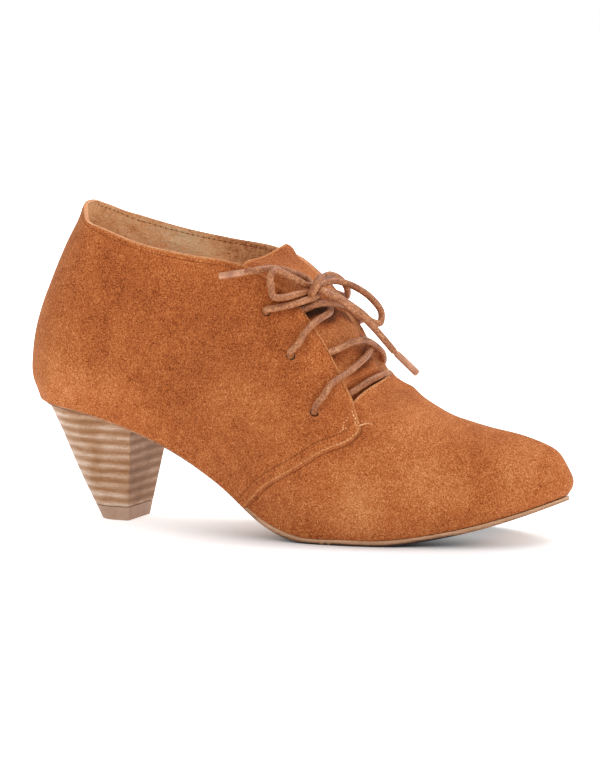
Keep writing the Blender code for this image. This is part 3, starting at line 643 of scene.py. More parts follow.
# %% Knot
KNOT_CENTRE = np.array([134.9, -8.0, 103.7])
KNOT_AXIS = np.array([0.79, 0.26, -0.55]) / np.linalg.norm([0.79, 0.26, -0.55])
BAND_RADIUS = 1.8
BAND_DEEP, BAND_WIDE = 4.9, 4.6         # from the band's centre to the middle of its cord
BAND_FORWARD = 3.4                      # the band sits this far in front of the knot's centre
BAND_STEPS = 18
BAND_START, BAND_TURN = -195.0, 390.0   # degrees
BAND_LEAN = 1.2                         # mm between its two ends, along the axis
LEG_RADIUS = 1.4                        # hidden inside the cords that it joins
KNOT_LEGS = [
    [(131.3, -16.0, 106.9), (132.6, -14.0, 105.7), (133.8, -11.0, 104.9), (135.4, -7.4, 104.9),
     (137.4, -3.8, 105.5), (138.8, -1.5, 105.9)],
    [(132.6, -18.0, 102.0), (133.5, -14.6, 102.1), (135.0, -10.5, 102.6), (137.2, -7.6, 102.6),
     (139.8, -5.5, 102.2), (141.5, -4.8, 101.3)],
    [(128.6, -7.7, 108.5), (130.3, -6.0, 107.4), (132.6, -6.6, 105.6), (135.6, -9.6, 104.2),
     (139.8, -12.6, 103.4), (142.5, -11.9, 102.0)],
]
facing = np.array(towards_camera)
facing -= KNOT_AXIS * np.dot(facing, KNOT_AXIS)
facing /= np.linalg.norm(facing)
sideways = np.cross(KNOT_AXIS, facing)
band_centre = KNOT_CENTRE + BAND_FORWARD * facing
wrap = []
for step in range(BAND_STEPS + 1):
    angle = math.radians(BAND_START + BAND_TURN * step / BAND_STEPS)
    lean = KNOT_AXIS * BAND_LEAN * (step / BAND_STEPS - 0.5)
    outwards = band_centre + BAND_DEEP * math.cos(angle) * facing
    wrap.append(outwards + BAND_WIDE * math.sin(angle) * sideways + lean)
knot, _ = make_cords("bow_knot", [wrap], waxed, BAND_RADIUS)
knot_legs, _ = make_cords("bow_knot_legs", KNOT_LEGS, waxed, LEG_RADIUS)
pick(knot)
knot_legs.select_set(True)
bpy.ops.object.join()
keep(knot, "waxed_lace", "lace_knot")

# %% [markdown]
# The upper is the shoe. A real one is cut, sewn and pulled over a last. Its solid already has that shape,
# with the open collar and throat, the step where the quarter lies on the vamp and the punched holes. So the
# dressed upper starts as a copy of the solid, whose loose triangles are merged back into quads.

# %% A copy of the upper
MERGE_WITHIN = 0.00002                  # metres
QUAD_ANGLE = math.radians(60)


def dressed_copy(node, name, *materials):
    """A copy of a CAD node, with its loose triangles merged back into quads."""
    piece = bpy.data.objects.new(name, frame["nodes"][node].data.copy())
    bpy.context.scene.collection.objects.link(piece)
    piece.data.materials.clear()
    for material in materials:
        piece.data.materials.append(material)
    pick(piece)
    bpy.ops.object.mode_set(mode="EDIT")
    bpy.ops.mesh.select_all(action="SELECT")
    bpy.ops.mesh.remove_doubles(threshold=MERGE_WITHIN)
    bpy.ops.mesh.customdata_custom_splitnormals_clear()
    bpy.ops.mesh.tris_convert_to_quads(face_threshold=QUAD_ANGLE, shape_threshold=QUAD_ANGLE)
    bpy.ops.object.mode_set(mode="OBJECT")
    return piece


upper = dressed_copy("upper", "suede_upper", raw_edge, suede, suede, lining, suede)
print("faces of the copy:", len(upper.data.polygons))

# %% [markdown]
# Panels end at sharp edges. They are picked as by hand, from one face up to the sharp edges. What is left
# between the panels is the cut edge of the hide, apart from the step at the seam and the hidden underside.

# %% Panels of the upper
EDGE_SLOT, QUARTER_SLOT, VAMP_SLOT, LINING_SLOT, STEP_SLOT = range(5)
PANEL_ANGLE = 38.0                      # degrees: a panel ends at an edge sharper than this
PANEL_SEEDS = [
    # slot, a point on its panel
    (QUARTER_SLOT, (60.0, -29.0, 88.0)),
    (VAMP_SLOT, (200.0, 5.0, 50.0)),
    (LINING_SLOT, (60.0, -12.0, 88.0)),
]
UNDERSIDE = -0.6                        # an edge whose normal's height is below this faces the floor


def mark_sharp(piece, degrees):
    """Mark the piece's sharp edges, so that select_linked stops at them."""
    pick(piece)
    bpy.ops.object.mode_set(mode="EDIT")
    bpy.ops.mesh.select_mode(type="EDGE")
    bpy.ops.mesh.select_all(action="SELECT")
    bpy.ops.mesh.mark_sharp(clear=True)
    bpy.ops.mesh.select_all(action="DESELECT")
    bpy.ops.mesh.edges_select_sharp(sharpness=math.radians(degrees))
    bpy.ops.mesh.mark_sharp()
    bpy.ops.object.mode_set(mode="OBJECT")


def assign_panel(piece, seed, slot):
    """Give a material slot to the panel whose face is nearest to the seed, up to its sharp edges."""
    seed = Vector(place(seed))
    pick(piece)
    bpy.ops.object.mode_set(mode="EDIT")
    bpy.ops.mesh.select_mode(type="FACE")
    bpy.ops.mesh.select_all(action="DESELECT")
    mesh = bmesh.from_edit_mesh(piece.data)
    nearest = min(mesh.faces, key=lambda face: (face.calc_center_median() - seed).length)
    nearest.select_set(True)
    bmesh.update_edit_mesh(piece.data)
    bpy.ops.mesh.select_linked(delimit={"SHARP"})
    piece.active_material_index = slot
    bpy.ops.object.material_slot_assign()
    bpy.ops.object.mode_set(mode="OBJECT")


mark_sharp(upper, PANEL_ANGLE)
for slot, seed in PANEL_SEEDS:
    assign_panel(upper, seed, slot)
upper_mesh = bmesh.new()
upper_mesh.from_mesh(upper.data)
for face in upper_mesh.faces:
    if face.material_index == EDGE_SLOT:
        beside = {other.material_index for edge in face.edges for other in edge.link_faces}
        if {QUARTER_SLOT, VAMP_SLOT} <= beside:
            face.material_index = STEP_SLOT
        elif face.normal.z < UNDERSIDE:
            face.material_index = LINING_SLOT
upper_mesh.to_mesh(upper.data)
upper_mesh.free()
print("faces of each panel:", np.bincount([face.material_index for face in upper.data.polygons]))

# %% [markdown]
# A subdivision surface rounds the upper. A crease is how far an edge resists that: the seam's step stays
# crisp, while the rims of the collar and the throat are left rounder.

# %% Rounding the upper
SUBDIVISIONS = 2
SMOOTH_ANGLE = math.radians(45)
STEP_CREASE, RIM_CREASE, FULL_CREASE = 0.9, 0.55, 1.0


def crease_sharp(piece, value_of):
    """Crease each sharp edge by the value that value_of gives for its two faces' slots."""
    mesh = bmesh.new()
    mesh.from_mesh(piece.data)
    layer = mesh.edges.layers.float.get("crease_edge") or mesh.edges.layers.float.new("crease_edge")
    for edge in mesh.edges:
        if not edge.smooth:
            edge[layer] = value_of({face.material_index for face in edge.link_faces})
    mesh.to_mesh(piece.data)
    mesh.free()


def subdivide(piece):
    """Round the piece off with a subdivision surface, applied."""
    pick(piece)
    bpy.ops.object.modifier_add(type="SUBSURF")
    modifier = piece.modifiers[-1]
    modifier.levels = SUBDIVISIONS
    modifier.render_levels = SUBDIVISIONS
    bpy.ops.object.modifier_apply(modifier=modifier.name)
    bpy.ops.object.shade_smooth_by_angle(angle=SMOOTH_ANGLE)


def upper_crease(slots):
    if STEP_SLOT in slots:
        return STEP_CREASE
    if EDGE_SLOT in slots:
        return RIM_CREASE
    return FULL_CREASE


crease_sharp(upper, upper_crease)
subdivide(upper)
keep(upper, "suede", "upper")

# %% [markdown]
# Seams and rims follow the panels, so their lines are read off the dressed mesh: the edges between two
# slots are chained into ordered lines.

# %% Lines of the upper


def panel_lines(piece, first, second):
    """Ordered lines of points along the edges between two material slots, the longest first."""
    mesh = bmesh.new()
    mesh.from_mesh(piece.data)
    links = {}
    for edge in mesh.edges:
        if {face.material_index for face in edge.link_faces} == {first, second}:
            start, end = (vertex.index for vertex in edge.verts)
            links.setdefault(start, []).append(end)
            links.setdefault(end, []).append(start)
    lines = []
    unused = set(links)
    while unused:
        ends = [index for index in unused if len(links[index]) == 1]
        index = min(ends) if ends else min(unused)
        line = []
        while index is not None:
            line.append(index)
            unused.discard(index)
            index = next((other for other in links[index] if other in unused), None)
        lines.append(line)
    mesh.verts.ensure_lookup_table()
    found = [np.array([mesh.verts[index].co for index in line]) for line in lines if len(line) > 3]
    mesh.free()
    return sorted(found, key=lambda line: -steps_of(line).sum())


collar_line = panel_lines(upper, QUARTER_SLOT, EDGE_SLOT)[0]
vamp_rim = panel_lines(upper, VAMP_SLOT, EDGE_SLOT)[0]
seam_lines = panel_lines(upper, QUARTER_SLOT, STEP_SLOT)[:2]
seam_feet = panel_lines(upper, STEP_SLOT, VAMP_SLOT)[:2]
named_lines = [("collar and throat", collar_line), ("vamp edge", vamp_rim)]
for name, line in named_lines + [("seam", line) for line in seam_lines]:
    print(name, round(steps_of(line).sum() / MM), "mm")

# %% [markdown]
# The hide isn't a smooth sheet: it was pulled over a last and worn a little. A sculpting brush could press in
# such folds. Here soft troughs and ridges are listed in the shoe's millimetres, each as a line with a depth
# and a width, so that they stay easy to measure and move. Edges bulge where a lace runs under them.

# %% Folds and lifts
FOLDS = [
    # start, end, depth (a trough is positive), width
    ((140.0, -36.0, 30.0), (160.0, -33.0, 42.0), 0.5, 5.0),
    ((150.0, -37.0, 22.0), (176.0, -33.0, 34.0), 0.45, 6.0),
    ((168.0, -26.0, 48.0), (190.0, -20.0, 45.0), 0.5, 7.0),
    ((176.0, -36.0, 14.0), (196.0, -33.0, 22.0), -0.5, 8.0),
    ((62.0, -30.0, 70.0), (96.0, -32.0, 52.0), 0.6, 9.0),
    ((84.0, -31.0, 92.0), (110.0, -31.0, 74.0), 0.5, 9.0),
    ((20.0, -22.0, 84.0), (44.0, -30.0, 70.0), 0.45, 7.0),
    ((40.0, -30.0, 58.0), (70.0, -31.0, 48.0), -0.5, 8.0),
    ((160.0, 30.0, 40.0), (182.0, 26.0, 44.0), 0.5, 6.0),
    ((80.0, 29.0, 88.0), (112.0, 30.0, 70.0), 0.5, 9.0),
    ((144.5, -18.5, 78.5), (141.0, -21.0, 78.0), -1.0, 4.0),
    ((134.0, -19.0, 94.2), (130.0, -21.5, 94.0), -1.0, 4.0),
    ((146.0, 17.5, 83.0), (142.0, 20.0, 82.5), -0.9, 4.0),
    ((134.0, 18.0, 100.5), (130.0, 20.5, 100.0), -0.9, 4.0),
]
LINING_WRINKLES = [
    # start, end, depth, width
    ((33.0, 16.0, 131.0), (47.0, 22.0, 121.0), 0.9, 1.8),
    ((33.0, 19.0, 126.0), (44.0, 22.5, 115.0), 0.8, 1.8),
    ((40.0, 20.0, 127.0), (56.0, 24.0, 121.0), 0.7, 1.6),
    ((48.0, 22.0, 117.0), (66.0, 25.0, 112.0), 0.6, 2.2),
    ((60.0, 25.0, 121.0), (84.0, 25.5, 114.0), 0.5, 2.4),
    ((34.0, -14.0, 128.0), (46.0, -21.0, 118.0), 0.7, 1.8),
    ((78.0, 25.0, 112.0), (100.0, 22.0, 110.0), 0.5, 2.4),
]
LIFTS = [
    # start, end, amount, width, direction
    ((152.0, 19.0, 75.0), (158.0, 18.0, 66.0), 2.4, 4.0, (0.6, 0.2, 0.6)),
    ((159.0, 16.5, 63.0), (168.0, 13.0, 58.5), 2.7, 5.5, (0.45, 0.1, 0.85)),
    ((12.0, -12.0, 63.0), (20.0, -21.0, 58.0), 2.7, 7.0, (-0.92, -0.38, 0.0)),
    ((36.0, -21.0, 131.0), (38.0, -22.5, 130.0), 1.0, 4.0, (-0.75, -0.35, -0.55)),
    ((26.0, -16.0, 118.0), (18.0, -17.0, 96.0), 1.6, 16.0, (-0.92, -0.38, 0.0)),
    ((28.0, -8.0, 136.5), (28.0, 2.0, 137.5), 1.3, 5.0, (-0.6, -0.2, 0.75)),
    ((40.0, 21.0, 129.5), (116.0, 22.0, 115.5), 0.7, 6.0, (0.0, 0.0, 1.0)),
    ((182.0, 4.0, 55.0), (196.0, 4.0, 50.0), 0.9, 9.0, (0.3, 0.0, 0.95)),
]


def falloff(gap, reach):
    """1 where there is no gap, fading softly, and nearly 0 at twice the reach."""
    return np.exp(-((gap / reach) ** 2))


def distance_to_segment(points, start, end):
    start, end = place(start), place(end)
    along = np.clip((points - start) @ (end - start) / np.dot(end - start, end - start), 0.0, 1.0)
    return np.linalg.norm(points - start - along[:, None] * (end - start), axis=1)


def vertices_in(piece, *slots):
    """A mask of the vertices whose faces are all in these slots."""
    inside = np.ones(len(piece.data.vertices), bool)
    for face in piece.data.polygons:
        if face.material_index not in slots:
            inside[list(face.vertices)] = False
    return inside


def read_points(mesh):
    """A mesh's vertices and normals as arrays."""
    points = np.empty(len(mesh.vertices) * 3)
    normals = np.empty(len(mesh.vertices) * 3)
    mesh.vertices.foreach_get("co", points)
    mesh.vertices.foreach_get("normal", normals)
    return points.reshape(-1, 3), normals.reshape(-1, 3)


def write_points(mesh, points):
    mesh.vertices.foreach_set("co", np.asarray(points).ravel())
    mesh.update()


points, normals = read_points(upper.data)
lined = vertices_in(upper, LINING_SLOT)
for rows, mask in ((FOLDS, vertices_in(upper, QUARTER_SLOT, VAMP_SLOT)), (LINING_WRINKLES, lined)):
    for start, end, depth, width in rows:
        push = falloff(distance_to_segment(points, start, end), width * MM) * depth * MM
        points = points - normals * np.where(mask, push, 0.0)[:, None]
for start, end, amount, width, direction in LIFTS:
    pull = falloff(distance_to_segment(points, start, end), width * MM)
    points = points + pull[:, None] * amount * MM * np.array(direction)
print("folds:", len(FOLDS), "wrinkles:", len(LINING_WRINKLES), "lifts:", len(LIFTS))

# %% [markdown]
# The quarter's edge stands up a little from the vamp that it is sewn to, and the vamp sinks at its foot,
# because the thread pulls both. Distances from the cut edges steer the suede's pale bands and its dark ones,
# among them a painted shadow on the vamp at the seam's foot, so the mesh keeps them as attributes.

# %% Seam and rims
SEAM_LIP, SEAM_DIP = 0.3, 0.25          # mm that the quarter's edge stands up, and the vamp sinks
SEAM_REACH = 3.0
FAR_OFF = 12.0                          # mm, where the materials no longer ask for a distance
FAR_THROAT = (118.0, 8.0)               # along and across: past these the throat's edge has no pale rim
LINE_SPACING = 0.4 * MM


def store(piece, name, values):
    """Keep one number for each vertex, for the materials to read."""
    attribute = piece.data.attributes.new(name, "FLOAT", "POINT")
    attribute.data.foreach_set("value", np.asarray(values, float))


def touching(piece, slot):
    """A mask of the vertices that have a face in this slot."""
    found = np.zeros(len(piece.data.vertices), bool)
    for face in piece.data.polygons:
        if face.material_index == slot:
            found[list(face.vertices)] = True
    return found


def at_lengths(line, lengths, at):
    """The points of a line at one or more lengths along it."""
    return np.stack([np.interp(at, lengths, line[:, axis]) for axis in range(3)], axis=-1)


def even_line(line, spacing):
    """The line again with points at one spacing."""
    lengths = lengths_along(line)
    count = max(2, int(round(lengths[-1] / spacing)))
    return at_lengths(line, lengths, np.linspace(0.0, lengths[-1], count + 1))


def gaps_to(spots, points):
    """The distance from each point to the nearest of the spots."""
    tree = KDTree(len(spots))
    for index, spot in enumerate(spots):
        tree.insert(spot, index)
    tree.balance()
    return np.array([tree.find(Vector(point))[2] for point in points])


def distance_to_lines(piece, lines):
    """The distance of each vertex from the nearest line, in mm."""
    spots = np.concatenate([even_line(line, LINE_SPACING) for line in lines])
    return gaps_to(spots, [vertex.co for vertex in piece.data.vertices]) / MM


on_quarter, on_vamp = touching(upper, QUARTER_SLOT), touching(upper, VAMP_SLOT)
to_edge, to_foot = distance_to_lines(upper, seam_lines), distance_to_lines(upper, seam_feet)
lift = np.where(on_quarter, SEAM_LIP * falloff(to_edge, SEAM_REACH), 0.0)
lift -= np.where(on_vamp, SEAM_DIP * falloff(to_foot, SEAM_REACH), 0.0)
points = points + normals * lift[:, None] * MM
write_points(upper.data, points)
in_shoe = shoe_points(points)
# painted shade: the far throat's edge lies in shade, so it gets no pale rim
shaded = (in_shoe[:, 0] > FAR_THROAT[0]) & (in_shoe[:, 1] > FAR_THROAT[1])
to_rim = np.minimum(distance_to_lines(upper, [collar_line, vamp_rim]), FAR_OFF)
store(upper, "rim", np.where(shaded, FAR_OFF, to_rim))
from_seam = np.where(on_vamp, to_foot, np.where(on_quarter, -to_edge, FAR_OFF))
store(upper, "seam", np.clip(from_seam, -FAR_OFF, FAR_OFF))
print("vertices within 1 mm of a rim:", np.count_nonzero(to_rim < 1.0))

# %% [markdown]
# Patches are placed like the folds, each as a centre with a reach. They are partly the nap's own lighter and
# darker tone and partly painted light: the quarter is a little darker and the vamp and the toe lighter, as
# the light falls on them, and the dark ones near the bow are a painted shadow that it throws. The far side's
# rims face away from the light and get painted shade. The lining gets painted light in its middle, and
# painted shade further forward, in the fold at the back and under its rim. All of it is one number for each
# vertex.

# %% Patches of the nap, and painted light and shade
NAP_TONE_AND_PAINTED_LIGHT = [
    # centre, reach, lightness
    ((28.0, -25.0, 62.0), 13.0, 0.13),
    ((52.0, -31.0, 58.0), 10.0, 0.10),
    ((18.0, -18.0, 76.0), 12.0, 0.07),
    ((80.0, -31.0, 66.0), 14.0, -0.06),
    ((52.0, -28.0, 104.0), 16.0, -0.08),
    ((92.0, -30.0, 92.0), 16.0, -0.07),
    ((116.0, -34.0, 62.0), 14.0, 0.05),
    ((176.0, -34.0, 34.0), 9.0, -0.05),
    ((196.0, -30.0, 26.0), 12.0, 0.08),
    ((168.0, -38.0, 14.0), 10.0, 0.13),
    ((214.0, -20.0, 34.0), 10.0, -0.05),
    ((226.0, -12.0, 34.0), 12.0, 0.07),
    ((190.0, 2.0, 52.0), 14.0, 0.07),
    ((64.0, 30.0, 70.0), 16.0, -0.06),
    ((30.0, 26.0, 62.0), 13.0, 0.10),
    ((176.0, 36.0, 22.0), 14.0, 0.08),
    # from here on, painted light: the quarter darker and the vamp, toe and heel's foot lighter, as the light
    # falls, and painted shadow under the bow's near loop
    ((70.0, -30.0, 86.0), 30.0, -0.05),
    ((122.0, -30.0, 78.0), 22.0, -0.05),
    ((178.0, -8.0, 56.0), 16.0, 0.10),
    ((228.0, -10.0, 30.0), 14.0, 0.08),
    ((192.0, -28.0, 36.0), 18.0, 0.12),
    ((164.0, -36.0, 26.0), 16.0, 0.09),
    ((128.0, -26.0, 104.0), 6.0, -0.5),
    ((124.0, -29.0, 98.0), 9.0, -0.12),
    ((28.0, -25.0, 62.0), 14.0, 0.03),
    ((131.5, -21.0, 98.5), 3.0, -0.35),
]
# painted light and shade on the lining: lighter in its middle, darker further forward and in the fold at the
# back
LINING_PAINTED_LIGHT = [
    # centre, reach, lightness
    ((60.0, 20.0, 122.0), 18.0, 0.16),
    ((94.0, 24.0, 112.0), 18.0, -0.10),
    ((29.0, 0.0, 127.0), 3.5, -0.30),
]
FAR_SIDE = (2.0, 10.0)                  # mm across the shoe, where the far side begins and is full
PAST_HEEL = (50.0, 85.0)                # mm along the shoe, where the lining's dark rim begins and is full
FAR_RIM_PAINTED_SHADE, FAR_RIM_REACH = -0.3, 1.0
LINING_RIM_PAINTED_SHADE, LINING_RIM_REACH = -0.3, 2.0


def smooth_step(low, high, values):
    part = np.clip((values - low) / (high - low), 0.0, 1.0)
    return part * part * (3.0 - 2.0 * part)


def placed_patches(points, rows):
    """The lightness that the rows give to each point."""
    found = np.zeros(len(points))
    for centre, reach, lightness in rows:
        gap = np.linalg.norm(points - place(centre), axis=1)
        found += lightness * falloff(gap, reach * MM)
    return found


far_side = smooth_step(*FAR_SIDE, in_shoe[:, 1])
past_heel = smooth_step(*PAST_HEEL, in_shoe[:, 0])
# the nap's tone and painted light, then painted shade on the far side's rims and on the lining under its rim
nap_tone_and_painted_light = placed_patches(points, NAP_TONE_AND_PAINTED_LIGHT)
nap_tone_and_painted_light += FAR_RIM_PAINTED_SHADE * far_side * falloff(to_rim, FAR_RIM_REACH)
lining_painted_light = placed_patches(points, LINING_PAINTED_LIGHT)
lining_painted_light += LINING_RIM_PAINTED_SHADE * far_side * past_heel * falloff(to_rim, LINING_RIM_REACH)
store(upper, "tone_and_painted_light", np.where(lined, lining_painted_light, nap_tone_and_painted_light))
print("patches:", len(NAP_TONE_AND_PAINTED_LIGHT), "on the suede,", len(LINING_PAINTED_LIGHT), "on the lining")

# %% [markdown]
# A machine sews each seam with one thread. An array along a curve could copy its stitches. Here one small
# flattened bead is copied in code along every row of a thread, with a dark needle hole between each two
# stitches, and the copies are one mesh.

# %% Sewing
THREAD_SLOT, HOLE_SLOT = range(2)
BEADS = ((0.25, THREAD_SLOT), (0.75, HOLE_SLOT))     # where along the pitch each kind of bead sits
STITCH_HEIGHT = 0.5                     # as a part of the stitch's width
HOLE_SIZES = np.array([0.8, 0.9, 0.2])  # along, across and up, as parts of the stitch's width
LOOK_AHEAD = 0.4 * MM
STRAY_SEED = 5
bpy.ops.object.select_all(action="DESELECT")
bpy.ops.mesh.primitive_uv_sphere_add(segments=8, ring_count=6, radius=0.5)
bead = bpy.context.active_object
bead_points = np.array([vertex.co for vertex in bead.data.vertices])
bead_faces = [tuple(face.vertices) for face in bead.data.polygons]
bpy.data.objects.remove(bead, do_unlink=True)
needle_hole = thread_material("needle_hole", (92, 44, 20), (130, 70, 34))


def sew(name, rows, thread, loose=0.0):
    """One piece with the stitches of several rows. A row is its points, normals, pitch, length and width.
    Loose stitches, measured in mm, stray from the row, vary in length and hide their needle holes."""
    points, faces, slots = [], [], []
    stray = np.random.default_rng(STRAY_SEED)

    def add_bead(centre, along, normal, sizes, slot):
        across = np.cross(normal, along)
        shape = np.stack([along, across, normal]) * np.array(sizes)[:, None]
        faces.extend(tuple(index + len(points) for index in face) for face in bead_faces)
        slots.extend([slot] * len(bead_faces))
        points.extend(centre + bead_points @ shape)

    for line, normals, pitch, length, width in rows:
        lengths = lengths_along(line)
        for step in range(int(lengths[-1] / (pitch * MM))):
            for offset, slot in BEADS:
                at = (step + offset) * pitch * MM
                centre = at_lengths(line, lengths, at)
                normal = at_lengths(normals, lengths, at)
                normal /= np.linalg.norm(normal)
                along = at_lengths(line, lengths, at + LOOK_AHEAD) - centre
                along -= normal * np.dot(along, normal)
                along /= max(np.linalg.norm(along), 1e-9)
                if slot == THREAD_SLOT:
                    centre = centre + np.cross(normal, along) * stray.normal(0.0, 1.0) * loose * MM
                    drawn = length * (1.0 - loose * stray.uniform(0.0, 2.0))
                    sizes = (drawn * MM, width * MM, STITCH_HEIGHT * width * MM)
                    add_bead(centre, along, normal, sizes, slot)
                elif not loose:
                    add_bead(centre, along, normal, HOLE_SIZES * width * MM, slot)
    mesh = bpy.data.meshes.new(name)
    mesh.from_pydata([tuple(point) for point in points], [], faces)
    mesh.materials.append(thread)
    mesh.materials.append(needle_hole)
    mesh.polygons.foreach_set("material_index", slots)
    piece = bpy.data.objects.new(name, mesh)
    bpy.context.scene.collection.objects.link(piece)
    pick(piece)
    bpy.ops.object.shade_smooth()
    return keep(piece, "suede")


# %% [markdown]
# A sewer's guide keeps a row at one distance from the edge. Here an edge's line is moved over the surface of
# its panel. A tack or a row inside the collar is laid on the surface instead.

# %% Rows on a surface
GUIDE_SPACING = 1.0 * MM
ROWS = {
    # kind: mm from the edge, pitch, stitch length and width
    "collar": (2.4, 2.6, 1.5, 0.6),
    "inside collar": (1.4, 2.6, 1.5, 0.5),
    "throat": (1.5, 2.6, 1.7, 0.5),
    "seam": (SEAM_ROW, 2.6, 1.5, 0.5),
    "corner": (1.6, 1.6, 1.6, 0.75),
    "seam fleck": (0.5, 1.6, 1.4, 0.6),
    "vamp fleck": (0.6, 1.7, 1.3, 0.45),
    "tack": (0.0, 1.5, 1.4, 0.65),
}


def panel_surface(piece, *slots):
    """A search tree of the faces in some slots, for finding the nearest point of a panel."""
    faces = [tuple(face.vertices) for face in piece.data.polygons if face.material_index in slots]
    return BVHTree.FromPolygons([vertex.co for vertex in piece.data.vertices], faces)


def beside_line(line, surface, distance):
    """A line on the surface at a distance from an edge, and the surface's normals there."""
    line = even_line(line, GUIDE_SPACING)
    tangents = np.gradient(line, axis=0)
    points, normals = [], []
    for point, tangent in zip(line, tangents):
        _, normal, _, _ = surface.find_nearest(Vector(point))
        inward = Vector(tangent).cross(normal).normalized()
        tries = [surface.find_nearest(Vector(point) + inward * turn * distance) for turn in (1.0, -1.0)]
        best = min(tries, key=lambda found: abs((found[0] - Vector(point)).length - distance))
        points.append(np.array(best[0]))
        normals.append(np.array(best[1]))
    return np.array(points), np.array(normals)


def edge_row(kind, line, surface, stretch=slice(None)):
    """A row of one kind beside an edge, ready to be sewn."""
    distance, *stitch = ROWS[kind]
    row, row_normals = beside_line(line, surface, distance * MM)
    return (row[stretch], row_normals[stretch], *stitch)


def laid_row(kind, line, surface):
    """A row of one kind along a line that is laid on the surface."""
    found = [surface.find_nearest(Vector(point)) for point in line]
    row = np.array([np.array(spot[0]) for spot in found])
    return (row, np.array([np.array(spot[1]) for spot in found]), *ROWS[kind][1:])


quarters = panel_surface(upper, QUARTER_SLOT)
print("kinds of row:", ", ".join(ROWS))

# %% [markdown]
# The collar has one row outside and one inside. The seams and the throat have brown rows too. Pale thread is
# tacked at the corners of the throat, and its loose ends fleck the seam and the vamp's edge.

# %% Stitch rows
COLLAR_END = place((115.0, 0.0, 0.0))[0]        # along the shoe, where the collar turns into the throat
SEAM_PART, CORNER_PART, FLECK_PART = slice(14, None), slice(6, 17), slice(17, 30)    # mm along the seam
TACK_SPACING = 0.8 * MM
LOOSE = 0.3
TAIL_RADIUS, TAIL_SPACING = 0.3, 0.4
TACKS = [
    # rows of pale stitches at the outer corner of the throat, as points that are put on the surface
    [(157.2, -25.6, 52.0), (155.9, -27.9, 50.0), (156.2, -29.0, 47.8), (154.2, -31.0, 46.2)],
    [(155.7, -29.2, 48.2), (158.6, -27.8, 47.0)],
]
THREAD_TAIL = [(161.4, -25.1, 48.4), (162.6, -24.8, 48.9), (164.6, -23.9, 49.5), (166.8, -22.7, 49.2)]

collar_part = collar_line[collar_line[:, 0] < COLLAR_END]
inside_row = edge_row("inside collar", collar_part, quarters)[0]
sew("collar_stitches", [
    edge_row("collar", collar_part, quarters),
    laid_row("inside collar", inside_row, panel_surface(upper, LINING_SLOT))], brown_thread)

seam_rows, corner_rows = [], []
for line in seam_lines:
    line = line if line[0][2] > line[-1][2] else line[::-1]
    seam_rows.append(edge_row("seam", line, quarters, SEAM_PART))
    corner_rows.append(edge_row("corner", line, quarters, CORNER_PART))
    corner_rows.append(edge_row("seam fleck", line, quarters, FLECK_PART))
for route in TACKS:
    for mirror in (1.0, -1.0):
        line = even_line(np.array([place((x, mirror * y, z)) for x, y, z in route]), TACK_SPACING)
        corner_rows.append(laid_row("tack", line, quarters))
corner_rows.append(edge_row("vamp fleck", vamp_rim, panel_surface(upper, VAMP_SLOT)))
for side in (-1.0, 1.0):
    at_throat = (collar_line[:, 0] > COLLAR_END) & (collar_line[:, 1] * side > 0.0)
    seam_rows.append(edge_row("throat", collar_line[at_throat], quarters))
sew("seam_stitches", seam_rows, brown_thread)
sew("corner_stitches", corner_rows, pale_thread, LOOSE)
thread_tail, _ = make_cords("thread_tail", [THREAD_TAIL], pale_thread, TAIL_RADIUS, TAIL_SPACING)
keep(thread_tail, "suede")

# %% [markdown]
# The tongue is one soft sheet under the lacing. Its top edge slants and flares up at the far corner, and
# the laces press into it, so points nearer to a lace than the clearance sink inwards.

# %% Tongue
BACK_SLOT, FRONT_SLOT = range(2)
FRONT_SEED = (150.0, 6.0, 84.0)
TONGUE_CREASE = 0.75
TONGUE_FLARE = (4.8, -1.5, 2.2)                 # mm that the far top corner stands forward, in and up
FLARE_ACROSS, FLARE_ALONG, FLARE_UP = (-16.0, 15.0), (108.0, 119.0), (108.0, 114.0)     # mm, its bounds
TONGUE_DIP = ((108.5, -6.0, 117.5), 8.0, 1.6)   # the top edge is lower here: centre, reach and mm
TONGUE_INWARD = np.array([-0.75, 0.05, -0.65])
LACE_CLEARANCE = 2.0
tongue = dressed_copy("tongue", "suede_tongue", raw_edge, suede)
mark_sharp(tongue, PANEL_ANGLE)
assign_panel(tongue, FRONT_SEED, FRONT_SLOT)
crease_sharp(tongue, lambda slots: TONGUE_CREASE)
subdivide(tongue)

points, _ = read_points(tongue.data)
in_shoe = shoe_points(points)
flare = smooth_step(*FLARE_ACROSS, in_shoe[:, 1]) * (1.0 - smooth_step(*FLARE_ALONG, in_shoe[:, 0]))
flare *= smooth_step(*FLARE_UP, in_shoe[:, 2])
points = points + flare[:, None] * np.array(TONGUE_FLARE) * MM
dip_centre, dip_reach, dip = TONGUE_DIP
gap = np.linalg.norm(points - place(dip_centre), axis=1)
points[:, 2] -= dip * MM * falloff(gap, dip_reach * MM)
lace_spots = np.concatenate([*lacing_lines, *bar_lines])
sink = np.maximum(LACE_CLEARANCE * MM - gaps_to(lace_spots, points), 0.0)
points = points + sink[:, None] * TONGUE_INWARD
write_points(tongue.data, points)
print("the laces press up to", round(sink.max() / MM, 2), "mm into the tongue")

# %% [markdown]
# The tongue's painted light and shade are placed like the upper's patches: painted shade at its top and
# painted light in the throat, a painted shadow under each cord and under the bow, and a painted highlight
# along its cut top edge.

